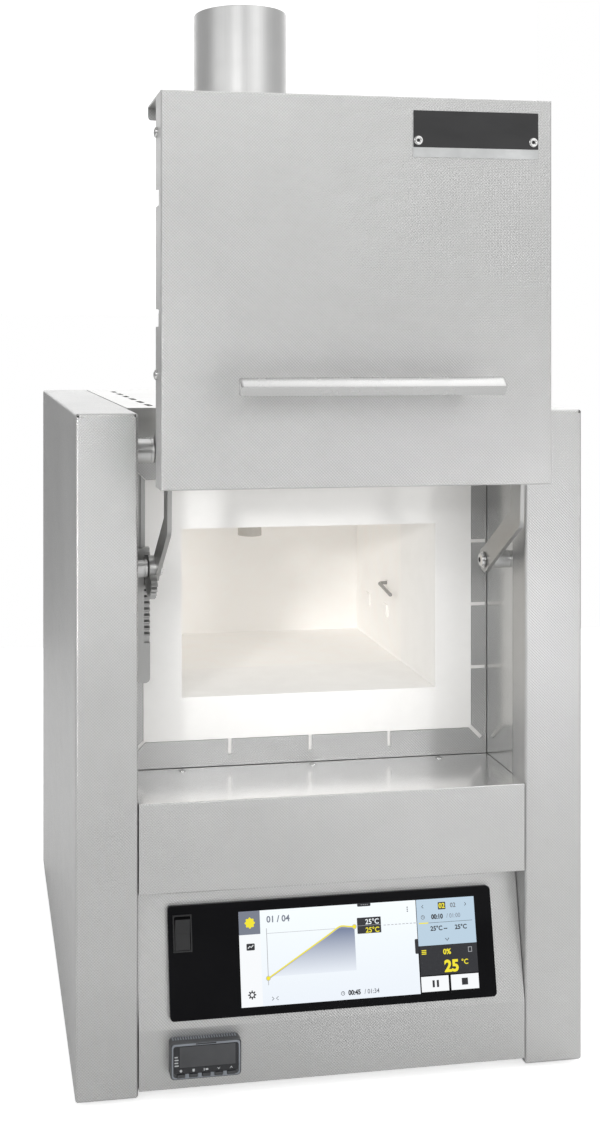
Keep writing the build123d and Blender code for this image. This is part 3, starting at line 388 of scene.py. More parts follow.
def new_material(name):
    """Material with a Principled shader, in place of the frame's plain one of that name.

    Returns its tree, the shader and the sockets of its coordinates.
    """
    plain = bpy.data.materials.get(name)
    if plain is not None:
        bpy.data.materials.remove(plain)
    material = bpy.data.materials.new(name)
    material.use_nodes = True
    tree = material.node_tree
    return tree, tree.nodes["Principled BSDF"], tree.nodes.new("ShaderNodeTexCoord").outputs


def place_group(tree, group, **links):
    """Outputs of a group node in a tree with its inputs linked or set."""
    node = tree.nodes.new("ShaderNodeGroup")
    node.node_tree = bpy.data.node_groups[group]
    return wire(tree, node, links).outputs


def bump(tree, height, distance):
    """Bump node on a height socket; returns its normal socket."""
    return wire(tree, tree.nodes.new("ShaderNodeBump"),
                {"Distance": distance, "Height": height}).outputs["Normal"]


def steel_material(name, colour, rough, linen=False, stretch=(1.0, 1.0, 1.0), depth=0.02 * MM,
                   plain_tops=0.0):
    """Stainless steel: cloudy polish, smears, and linen emboss with painted shade and highlight or
    drawn grain.
    """
    tree, shader, at = new_material(name)
    position = at["Object"]
    marks = place_group(tree, "Handling marks", Position=position, Scale=7.0)
    grain = place_group(tree, "Metal grain", Position=position, Stretch=stretch, Scale=1100.0)
    light = tuple(min(1.0, 1.04 * c) for c in colour)
    tone = blend_colour(tree, marks["Mask"], shade(colour, 0.93), light)
    tone = blend_colour(tree, times(tree, grain["Tone"], 0.10), tone, shade(colour, 0.6))
    rub = calc(tree, "ADD", times(tree, marks["Smears"], 0.05), times(tree, marks["Mask"], 0.05))
    rub = calc(tree, "ADD", rub, rough)
    if linen:
        weave = place_group(tree, "Linen emboss", Position=position, Normal=at["Normal"],
                            Pitch=sizes().linen_pitch, **{"Plain tops": plain_tops})
        # painted shade: the linen's valleys are darkened towards 0.55 of the colour, on top of the
        # bump's shading
        valley_shade = calc(tree, "SUBTRACT", 0.5, times(tree, weave["Height"], 0.5))
        tone = blend_colour(tree, valley_shade, tone, shade(colour, 0.55))
        normal = bump(tree, weave["Height"], sizes().linen_depth)
        rub = calc(tree, "SUBTRACT", rub, times(tree, weave["Plain"], 0.14))
        # painted highlight: upward faces with plain tops are lifted to 1.45 times the colour, up
        # to 0.94
        tone = blend_colour(tree, weave["Plain"], tone, tuple(min(0.94, 1.45 * c) for c in colour))
    else:
        normal = bump(tree, grain["Height"], depth)
    wire(tree, shader, {"Base Color": tone, "Metallic": 1.0, "Roughness": rub, "Normal": normal})


def white_material(name, colour, scale, depth, glow):
    """White fibre or ceramic: felted height, faint cloudy shade and a painted glow of its own
    colour.
    """
    tree, shader, at = new_material(name)
    felt = place_group(tree, "Fibre felt", Position=at["Object"], Scale=scale)
    # painted light: Emission Strength glow makes the surface shine by itself, though it is no lamp
    wire(tree, shader, {
        "Base Color": blend_colour(tree, felt["Shade"], shade(colour, 0.97), tuple(colour)),
        "Normal": bump(tree, felt["Height"], depth), "Roughness": 0.95,
        "Specular IOR Level": 0.2, "Emission Color": tuple(colour), "Emission Strength": glow})


def plastic_material(name, colour, rough, depth, scale=2500.0):
    """Moulded plastic: fine spark-eroded surface and slightly worn polish."""
    tree, shader, at = new_material(name)
    marks = place_group(tree, "Handling marks", Position=at["Object"], Scale=40.0)
    grain = place_group(tree, "Metal grain", Position=at["Object"], Scale=scale)
    wire(tree, shader, {
        "Base Color": blend_colour(tree, marks["Mask"], shade(colour, 0.85), shade(colour, 1.15)),
        "Roughness": calc(tree, "ADD", times(tree, marks["Smears"], 0.12), rough),
        "Normal": bump(tree, grain["Height"], depth)})


def glass_material():
    """Black glass of the controller, with faint wiping marks in its gloss."""
    tree, shader, at = new_material("black_glass")
    marks = place_group(tree, "Handling marks", Position=at["Object"], Scale=14.0)
    tone = blend_colour(tree, marks["Mask"], (0.004, 0.004, 0.005), (0.007, 0.007, 0.008))
    wire(tree, shader, {
        "Base Color": tone, "Specular IOR Level": 0.05,
        "Roughness": between(tree, marks["Smears"], 0.0, 1.0, 0.04, 0.09)})


def lit_material(name, colour, second=None, low=0.0, high=1.0):
    """Lit display ink: an emission colour, faded to a second one between two heights."""
    tree, shader, at = new_material(name)
    tone = tuple(colour)
    if second is not None:
        factor = between(tree, components(tree, at["Object"])["Z"], low, high)
        tone = blend_colour(tree, factor, tone, tuple(second))
    speckle = times(tree, noise(tree, at["Object"], 4000.0, 1.0), 0.03)
    wire(tree, shader, {
        "Emission Color": blend_colour(tree, speckle, tone, (0.0, 0.0, 0.0)),
        "Emission Strength": 1.0, "Base Color": (0.004, 0.004, 0.005), "Roughness": 0.08})


class FURNACE_OT_finishes(bpy.types.Operator):
    """Build the shader groups and materials, and finish the CAD nodes with them."""

    bl_idname = "furnace.finishes"
    bl_label = "Finishes"

    def execute(self, context):
        """Make groups, materials and assign them to the nodes."""
        for build in (linen_group, handling_group, grain_group, fibre_group):
            build()
        steel, smooth = tuple(colours().steel), tuple(colours().smooth_steel)
        for name, colour, factor, rough, more in (
                ("linen_steel", steel, 1.02, 0.32, {"linen": True}),
                # the face frame's steel is the linen steel darkened to 0.84: painted shade of the
                # recess
                ("frame_steel_painted_shade", steel, 0.84, 0.32, {"linen": True}),
                # the ledge's plain upward faces carry a painted highlight
                ("ledge_steel", steel, 1.04, 0.32, {"linen": True, "plain_tops": 1.0}),
                ("smooth_steel", smooth, 1.0, 0.26, {"stretch": (1.0, 1.0, 0.03)}),
                # the inner walls' steel is smooth steel darkened to 0.94: slight painted shade
                ("liner_steel", smooth, 0.94, 0.17, {"stretch": (1.0, 1.0, 0.03)}),
                ("bright_steel", steel, 1.06, 0.18,
                 {"stretch": (1.0, 1.0, 0.05), "depth": POLISHED}),
                ("bush_steel", steel, 1.02, 0.36,
                 {"stretch": (0.05, 1.0, 1.0), "depth": POLISHED}),
                ("pipe_steel", steel, 1.10, 0.38,
                 {"stretch": (0.5, 0.5, 0.008), "depth": 0.002 * MM}),
                ("linkage_steel", smooth, 0.62, 0.32, {"stretch": (1.0, 0.08, 0.08)}),
                ("handle_steel", steel, 0.92, 0.24,
                 {"stretch": (0.01, 1.0, 1.0), "depth": 0.5 * POLISHED}),
                ("heat_sink", (0.7, 0.7, 0.7), 1.0, 0.3, {})):
            steel_material(name, shade(colour, factor), rough, **more)
        # glow is painted light: fibre and ceramic emit a little of their own colour to brighten
        # the chamber evenly
        for name, colour, scale, depth, glow in (
                ("white_fibre", colours().fibre, 900.0, 0.12 * MM, 0.07),
                ("ceramic", colours().ceramic, 1500.0, 0.06 * MM, 0.12),
                ("vent_ceramic", (0.60, 0.58, 0.55), 1500.0, 0.06 * MM, 0.0)):
            white_material(name, colour, scale, depth, glow)
        for name, colour, rough, depth in (
                ("black_plastic", (0.012, 0.012, 0.013), 0.34, MOULDED),
                ("dark_grey_plastic", (0.055, 0.058, 0.062), 0.40, MOULDED),
                ("shadow_black", (0.01, 0.01, 0.01), 0.6, MOULDED),
                ("mark_white", (0.55, 0.57, 0.58), 0.5, MOULDED),
                ("rim_grey", (0.24, 0.26, 0.29), 0.35, MOULDED),
                ("display_window", (0.018, 0.019, 0.022), 0.12, 0.1 * MOULDED),
                ("screen_grey", (0.060, 0.062, 0.066), 0.30, 0.1 * MOULDED),
                ("pale_enamel", (0.62, 0.63, 0.63), 0.35, 0.15 * MOULDED),
                ("black_enamel", (0.012, 0.012, 0.013), 0.28, 0.15 * MOULDED)):
            plastic_material(name, colour, rough, depth)
        plastic_material("rubber", (0.018, 0.018, 0.018), 0.75, 0.05 * MM, 900.0)
        glass_material()
        pale = tuple(colours().display_pale)
        low, high = (float(corner[2]) for corner in box_of("touch_glass"))
        for ink, colour in (
                ("white", (0.92, 0.94, 0.96)), ("yellow", tuple(colours().display_yellow)),
                ("slate", (0.17, 0.19, 0.24)), ("blue", (0.48, 0.62, 0.74)),
                ("night", (0.006, 0.007, 0.011)), ("grey", (0.42, 0.43, 0.45)),
                ("ash", (0.13, 0.14, 0.16))):
            lit_material("lit_" + ink, colour)
        lit_material("lit_pale", pale, tuple(min(1.0, 1.12 * c) for c in pale), low, high)
        fade = high - 53.0 * MM
        lit_material("lit_shade", shade(pale, 0.98), (0.16, 0.20, 0.32), fade, fade + 30 * MM)
        for part in frame["record"]["subparts"]:
            slot = part["material_slot"]
            finish = NODE_FINISH.get(part["node"], SLOT_FINISH.get(slot, slot))
            obj = frame["nodes"][part["node"]]
            obj.data.materials.clear()
            obj.data.materials.append(bpy.data.materials[finish])
        return {"FINISHED"}


POLISHED, MOULDED = 0.0004 * MM, 0.02 * MM        # height of the surface's fine texture
SLOT_FINISH = {"display": "display_window"}
# the face frame's and inner walls' finishes are darkened copies of steel: painted shade in the
# recess round the chamber
NODE_FINISH = {
    "left_inner_wall": "liner_steel", "right_inner_wall": "liner_steel",
    "chimney": "pipe_steel", "vent_tube": "vent_ceramic", "ledge": "ledge_steel",
    "rack_guide": "linkage_steel", "face_frame": "frame_steel_painted_shade",
}


# ---------------------------------------------------------------- turned pieces
ALONG_Y, ALONG_Z = (0, 1, 0), (0, 0, 1)
PAN = 116.5 * MM                                    # outer side of the door's pan from the middle
LOWER_PIVOT, UPPER_PIVOT = 379 * MM, 467 * MM       # heights of the arms' fixed pivots
SCREW_AND_WASHER = MM * np.array([                  # profile (radius, height) on a pivot's end
    (0, 0), (6.0, 0), (6.2, 0.2), (6.2, 0.7), (5.6, 0.8), (5.6, 1.0), (5.9, 1.05), (5.9, 1.35),
    (5.1, 1.4), (5.1, 2.2), (4.8, 2.7), (4.0, 3.05), (2.9, 3.2), (0, 3.2)])


def chamfered(radius, start, end, edge):
    """Profile of a plain pin with small chamfers at both ends."""
    return [(0.0, start), (radius - edge, start), (radius, start + edge),
            (radius, end - edge), (radius - edge, end), (0.0, end)]


def pan_head(radius, height, steps=9):
    """Profile of a domed screw head: a short skirt, then a quarter ellipse."""
    a = np.linspace(0, TURN / 4, steps)
    dome = np.stack([radius * np.cos(a), height * 0.35 + height * 0.65 * np.sin(a)], axis=1)
    return np.concatenate([[(radius, 0.0)], dome])


def hex_recess(centre, direction, across, depth):
    """Dark hexagonal socket drawn as a shallow six-sided cup standing on a head."""
    u, v, w = frame_axes(direction)
    rim = circle(u, v, 6)
    outer = np.array(centre) + across / 2 * rim
    inner = np.array(centre) + 0.86 * across / 2 * rim
    floor = inner - depth * np.array(w)
    points = np.concatenate([outer, inner, floor])
    i = np.arange(6)
    j = (i + 1) % 6
    ring = np.stack([i, j, j + 6, i + 6], axis=1).tolist()
    wall = np.stack([i + 6, j + 6, j + 12, i + 12], axis=1).tolist()
    return points, ring + wall + [tuple(range(12, 18))]


class FURNACE_OT_chimney(bpy.types.Operator):
    """Exhaust pipe with its foot flange, weld bead and rolled rim."""

    bl_idname = "furnace.chimney"
    bl_label = "Chimney"

    def execute(self, context):
        """Turn the pipe and carry a weld bead up its back."""
        low, high = box_of("chimney")
        cx, cy = (low[0] + high[0]) / 2, (low[1] + high[1]) / 2
        flange = (high[0] - low[0]) / 2
        radius, wall, foot = 46.3 * MM, 1.2 * MM, 2.0 * MM
        z0, z1 = low[2], high[2]
        a = np.linspace(0, TURN / 2, 7)
        rim = np.stack([radius - wall / 2 + wall / 2 * np.cos(a),
                        z1 - wall / 2 + wall / 2 * np.sin(a)], axis=1)
        b = np.linspace(TURN / 4, 0, 6)
        toe = np.stack([radius + 2.0 * MM * (1 - np.sin(b)),
                        z0 + foot + 2.0 * MM * (1 - np.cos(b))], axis=1)[::-1]
        profile = np.concatenate([[(flange - 0.4 * MM, z0), (flange, z0 + 0.4 * MM),
                                   (flange, z0 + foot - 0.4 * MM), (flange - 0.4 * MM, z0 + foot)],
                                  toe, rim, [(radius - wall, z0)]])
        rise = np.linspace(z0 + foot, z1 - 3 * MM, 60)
        seam = np.stack([np.full(60, cx), np.full(60, cy + radius), rise], axis=1)
        make("chimney_pipe", [turned(profile, (cx, cy, 0), ALONG_Z, 128, closed=True),
                              tube(seam, 0.7 * MM, 8)], "pipe_steel", node="chimney")
        low, high = box_of("chimney_screws")
        head = 3.6 * MM
        reach = (high[0] - low[0]) / 2 - head
        corners = [(cx + sx * reach, cy + sy * reach, low[2]) for sx in (-1, 1) for sy in (-1, 1)]
        heads = []
        for x, y, z in corners:
            heads.append(turned(pan_head(head, 2.2 * MM), (x, y, z), ALONG_Z, 32))
            heads.append(hex_recess((x, y, z + 2.21 * MM), ALONG_Z, 2.6 * MM, 0.3 * MM))
        make("flange_screw_heads", heads, "bright_steel", node="chimney_screws")
        return {"FINISHED"}


class FURNACE_OT_pivots(bpy.types.Operator):
    """Bushes, journals, screws with washers, and studs of the lift linkage."""

    bl_idname = "furnace.pivots"
    bl_label = "Pivots"

    def execute(self, context):
        """Turn every pivot part about its own axis along X."""
        steps = sizes().turned_steps
        wall = HALF_WIDTH - 45.5 * MM
        arm = wall - 19 * MM
        y = FRONT + 33 * MM
        journal = 4.0 * MM
        end = arm - 0.3 * MM
        caps, bushes = [], {"lower_bushes": [], "upper_bushes": []}
        for node, z, radius, left_face in (
                ("lower_bushes", LOWER_PIVOT, 6.6 * MM, arm + 7.9 * MM),
                ("upper_bushes", UPPER_PIVOT, 9.0 * MM, arm + 3.3 * MM)):
            for side in (-1, 1):
                face = left_face if side < 0 else arm + 3.3 * MM
                profile = [(0, face), (journal + 0.3 * MM, face), (radius - 0.6 * MM, face),
                           (radius, face + 0.6 * MM), (radius, face + 2.4 * MM),
                           (radius - 0.35 * MM, face + 2.6 * MM),
                           (radius - 0.35 * MM, face + 3.0 * MM),
                           (radius, face + 3.2 * MM), (radius, wall), (0, wall)]
                bushes[node].append(turned(profile, (0, y, z), (side, 0, 0), steps))
                pin = chamfered(journal, end, face, 0.3 * MM)
                bushes[node].append(turned(pin, (0, y, z), (side, 0, 0), 48))
                caps.append(turned(SCREW_AND_WASHER, (side * end, y, z), (-side, 0, 0), steps))
        for node, parts in bushes.items():
            make(node + "_turned", parts, "bush_steel", node=node)
        sockets = [hex_recess((side * (arm - 3.53 * MM), y, z), (-side, 0, 0), 4.6 * MM, 0.02 * MM)
                   for side in (-1, 1) for z in (LOWER_PIVOT, UPPER_PIVOT)]
        make("pivot_screws", caps, "bright_steel", node="pivot_caps")
        make("pivot_sockets", sockets, "shadow_black")
        self.studs(steps)
        return {"FINISHED"}

    def studs(self, steps):
        """Shouldered studs on the door's pan, one set for each pair of arms."""
        for node in ("lower_door_studs", "upper_door_studs"):
            low, high = box_of(node)
            y, z = (low[1] + high[1]) / 2, (low[2] + high[2]) / 2
            outer, arm_thickness, gap, head = high[0], 3.0 * MM, 0.3 * MM, 2.6 * MM
            x1 = outer - head
            x0 = x1 - arm_thickness - 2 * gap
            profile = [(0, PAN), (7.0 * MM, PAN), (7.0 * MM, x0 - 0.4 * MM),
                       (6.6 * MM, x0), (4.0 * MM, x0 + 0.01 * MM), (4.0 * MM, x1),
                       (6.2 * MM, x1), (6.5 * MM, x1 + 0.3 * MM), (6.5 * MM, x1 + 1.6 * MM),
                       (5.6 * MM, x1 + 2.3 * MM), (4.2 * MM, outer), (0, outer)]
            parts = [turned(profile, (0, y, z), (side, 0, 0), steps) for side in (-1, 1)]
            make(node + "_turned", parts, "bright_steel", "door", node=node)


class FURNACE_OT_handle(bpy.types.Operator):
    """Handle bar with its chamfers and rounded ends, and its two posts."""

    bl_idname = "furnace.handle"
    bl_label = "Door handle"

    def execute(self, context):
        """Carry the bar's section along X, drawn in a little at both ends."""
        low, high = box_of("handle_bar")
        cy, cz = (low[1] + high[1]) / 2, (low[2] + high[2]) / 2
        hy, hz = (high[1] - low[1]) / 2, (high[2] - low[2]) / 2
        r, slope, lean = 0.6 * MM, 5.4 * MM, 2.0 * MM
        section = np.array([(-hy + lean, -hz + r), (-hy, hz - slope - r),
                            (-hy + 0.25 * MM, hz - slope), (-hy + slope, hz - 0.25 * MM),
                            (-hy + slope + r, hz), (hy - r, hz), (hy, hz - r), (hy, -hz + r),
                            (hy - r, -hz), (-hy + lean + r, -hz)])
        inset = np.array([0, 0.3 * MM, 1.0 * MM, 2 * MM])
        x = np.concatenate([-high[0] + inset, high[0] - inset[::-1]])
        shrink = np.array([0.86, 0.94, 0.99, 1.0, 1.0, 0.99, 0.94, 0.86])
        points = np.zeros((len(x), len(section), 3))
        points[..., 0] = x[:, None]
        points[..., 1] = cy + shrink[:, None] * section[None, :, 0]
        points[..., 2] = cz + shrink[:, None] * section[None, :, 1]
        n, m = points.shape[:2]
        faces = grid_faces(n, m, wrap_columns=True)
        ends = [tuple(range(m)), tuple(range((n - 1) * m, n * m))]
        make("handle_profile", [(points.reshape(-1, 3), faces + ends)], "handle_steel", "door",
             25, node="handle_bar")
        low, high = box_of("handle_posts")
        side = high[0] - 4.0 * MM
        z = (low[2] + high[2]) / 2
        profile = [(0, low[1]), (4.0 * MM, low[1]), (4.0 * MM, high[1] - 1.6 * MM),
                   (4.5 * MM, high[1] - 1.5 * MM), (4.9 * MM, high[1] - 1.2 * MM),
                   (4.9 * MM, high[1] - 0.1 * MM), (4.9 * MM, high[1]), (0, high[1])]
        posts = [turned(profile, (x, 0, z), ALONG_Y, 48) for x in (-side, side)]
        make("handle_posts_turned", posts, "bright_steel", "door", node="handle_posts")
        return {"FINISHED"}


class FURNACE_OT_screws(bpy.types.Operator):
    """Screws of the door's flanges, the ledge and the rear panel."""

    bl_idname = "furnace.screws"
    bl_label = "Screws"

    def execute(self, context):
        """Turn domed heads, and sink a socket into each of the ledge's."""
        low, high = box_of("door_screws")
        y = (low[1] + high[1]) / 2
        heads = []
        for side in (-1, 1):
            for z in (low[2] + 3.7 * MM, high[2] - 3.7 * MM):
                start = high[0] - 2.4 * MM
                centre, out = (side * start, y, z), (side, 0, 0)
                heads.append(turned(pan_head(3.7 * MM, 2.4 * MM), centre, out, 40))
                heads.append(turned(chamfered(1.7 * MM, PAN, start, 0.1 * MM), (0, y, z), out, 24))
        make("door_screw_heads", heads, "bright_steel", "door", node="door_screws")
        low, high = box_of("ledge_screws")
        y, z = (low[1] + high[1]) / 2, high[2] - 1.1 * MM
        heads, sockets = [], []
        for x in (-104 * MM, 0.0, 104 * MM):
            heads.append(turned(pan_head(2.6 * MM, 1.1 * MM), (x, y, z), ALONG_Z, 40))
            sockets.append(hex_recess((x, y, z + 1.1 * MM), ALONG_Z, 2.2 * MM, 0.1 * MM))
        make("ledge_screw_heads", heads, "bright_steel", node="ledge_screws")
        make("ledge_screw_sockets", sockets, "shadow_black")
        low, high = box_of("rear_panel")
        heads = []
        for x in (low[0] + 9 * MM, 0.0, high[0] - 9 * MM):
            for z in (low[2] + 12 * MM, (low[2] + high[2]) / 2, high[2] - 16 * MM):
                heads.append(turned(pan_head(3.2 * MM, 1.9 * MM), (x, high[1], z), ALONG_Y, 32))
        make("rear_screw_heads", heads, "bright_steel")
        return {"FINISHED"}


# ---------------------------------------------------------------- plates
class FURNACE_OT_plates(bpy.types.Operator):
    """Bare two-tone plate with hollow rivets on the door, and a bare plate on the left side."""

    bl_idname = "furnace.plates"
    bl_label = "Bare plates"

    def execute(self, context):
        """Prisms of rounded outlines; the rivets are turned rings."""
        door = float(box_of("door_skin")[0][1])
        x0, x1, z0, z1 = 37.4 * MM, 129.2 * MM, 677.0 * MM, 709.4 * MM
        strip = 6.8 * MM
        cx = (x0 + x1) / 2
        base = rounded_rectangle(x1 - x0, z1 - z0, 0.6 * MM)
        across, up = (1, 0, 0), (0, 0, 1)
        make("door_plate", [prism(base, (cx, door - 0.5 * MM, (z0 + z1) / 2), across, up,
                                  0.5 * MM)], "pale_enamel", "door")
        dark = rounded_rectangle(x1 - x0 - 0.2 * MM, z1 - z0 - strip, 0.3 * MM)
        make("door_plate_field", [prism(dark, (cx, door - 0.56 * MM, (z0 + strip + z1) / 2),
                                        across, up, 0.1 * MM)], "black_enamel", "door")
        ring = MM * np.array([(1.1, 0.0), (3.3, 0.0), (3.3, 0.3), (2.9, 0.8), (2.2, 1.0),
                              (1.5, 0.8), (1.1, 0.4)])
        hole = MM * np.array([(0, 0), (1.15, 0), (1.15, 0.12), (0, 0.12)])
        places = [(41.2 * MM, door - 0.5 * MM, 688.6 * MM),
                  (125.6 * MM, door - 0.5 * MM, 688.9 * MM)]
        rivets = [turned(ring, place, (0, -1, 0), 48, closed=True) for place in places]
        make("door_plate_rivets", rivets, "bright_steel", "door")
        holes = [turned(hole, place, (0, -1, 0), 24) for place in places]
        make("door_plate_rivet_holes", holes, "shadow_black", "door")
        low, high = box_of("fibre_collar")
        back = float(box_of("face_frame")[1][1]) + 0.2 * MM
        width, height = high[0] - low[0], high[2] - low[2]
        middle = (low[2] + high[2]) / 2

        def behind(outline, level):
            """Outline about the collar's middle, to the frame."""
            return np.stack([outline[:, 0], np.full(len(outline), back - level),
                             middle + outline[:, 1]], axis=1)

        make("slot_backing", [ring_prism(
            rounded_rectangle(width + 25 * MM, height + 25 * MM, 2 * MM),
            rounded_rectangle(width + 0.6 * MM, height + 0.6 * MM, 0.1 * MM), behind, 0.0,
            1.0 * MM)], "white_fibre")
        label = rounded_rectangle(104 * MM, 92 * MM, 3 * MM)
        centre = (-HALF_WIDTH + 0.04 * MM, FRONT + 345 * MM, 424 * MM)
        make("side_plate", [prism(label, centre, (0, -1, 0), (0, 0, 1), 0.1 * MM)],
             "pale_enamel")
        return {"FINISHED"}


# ---------------------------------------------------------------- display
def ring_prism(outer, inner, place, level, depth):
    """Flat ring between two outlines of as many points, on the control panel."""
    n = len(outer)
    front = np.concatenate([place(outer, level), place(inner, level)])
    back = np.concatenate([place(outer, level - depth), place(inner, level - depth)])
    i = np.arange(n)
    j = (i + 1) % n
    top = np.stack([i, j, j + n, i + n], axis=1)
    under = top[:, ::-1] + 2 * n
    outside = np.stack([i, i + 2 * n, j + 2 * n, j], axis=1)
    inside = np.stack([i + n, j + n, j + 3 * n, i + 3 * n], axis=1)
    return np.concatenate([front, back]), np.concatenate([top, under, outside, inside]).tolist()


def flat_prism(outline, place, level, depth):
    """Flat filled outline on the control panel."""
    return solid(place(outline, level), place(outline, level - depth))


def on_glass(outline, level):
    """Points (across, down) in millimetres from the glass's upper left corner, to the frame."""
    outline = np.asarray(outline, dtype=float) * MM
    lean = sizes().panel_lean
    x = box_of("touch_glass")[0][0] + outline[:, 0]
    s = sizes().glass_rise + sizes().glass_height - outline[:, 1]
    out = sizes().glass_thickness + level
    y = FRONT - out * math.cos(lean) + s * math.sin(lean)
    z = CREASE + out * math.sin(lean) + s * math.cos(lean)
    return np.stack([x, y, z], axis=1)


def on_plinth(outline, level):
    """Points (across, up) in millimetres on the limiter's face, to the frame."""
    outline = np.asarray(outline, dtype=float) * MM
    face = float(box_of("limiter_housing")[0][1])
    n = len(outline)
    return np.stack([outline[:, 0], np.full(n, face - level), outline[:, 1]], axis=1)


def slab(x0, y0, x1, y1, radius=0.0):
    """Rectangle outline between two corners, with rounded corners if a radius is given."""
    if radius <= 0:
        return np.array([(x0, y0), (x1, y0), (x1, y1), (x0, y1)])
    outline = rounded_rectangle(x1 - x0, y1 - y0, radius)
    return outline + np.array([(x0 + x1) / 2, (y0 + y1) / 2])


def disc(x, y, radius, steps=24):
    """Circle outline."""
    return np.array([x, y]) + radius * circle(np.array([1, 0]), np.array([0, 1]), steps)


def stroke(line, width):
    """Outline of an open line of points at half the width on both sides."""
    line = np.array(line, dtype=float)
    along = np.gradient(line, axis=0)
    along /= np.linalg.norm(along, axis=1, keepdims=True)
    side = np.stack([-along[:, 1], along[:, 0]], axis=1) * width / 2
    return np.concatenate([line + side, (line - side)[::-1]])


def strip_prism(line, width, place, level, depth):
    """Line of points drawn as a flat ribbon of quads, which may bend."""
    edge = stroke(line, width)
    n = len(edge) // 2
    left, right = edge[:n], edge[n:][::-1]
    flat = np.stack([left, right], axis=1).reshape(-1, 2)
    front, back = place(flat, level), place(flat, level - depth)
    top = np.array(grid_faces(n, 2))
    return (np.concatenate([front, back]),
            np.concatenate([top, top[:, ::-1] + 2 * n]).tolist())


def lettering(text, x, y, height, bold, squeeze, place, level, depth):
    """Figures set in the built-in face: flat outlines placed with their left foot at (x, y)."""
    curve = bpy.data.curves.new("figures", "FONT")
    curve.body = text
    curve.size = 1.0
    curve.offset = bold
    curve.resolution_u = 3
    holder = bpy.data.objects.new("figures", curve)
    mesh = bpy.data.meshes.new_from_object(holder)
    points = np.zeros(len(mesh.vertices) * 3)
    mesh.vertices.foreach_get("co", points)
    points = points.reshape(-1, 3)[:, :2]
    scale = height / 0.69
    down = -1.0 if place is on_glass else 1.0
    flat = np.stack([x + points[:, 0] * scale * squeeze, y + down * points[:, 1] * scale], axis=1)
    faces = [tuple(face.vertices) for face in mesh.polygons]
    bpy.data.objects.remove(holder)
    bpy.data.meshes.remove(mesh)
    bpy.data.curves.remove(curve)
    n = len(flat)
    both = np.concatenate([place(flat, level), place(flat, level - depth)])
    return both, faces + [tuple(i + n for i in reversed(face)) for face in faces]


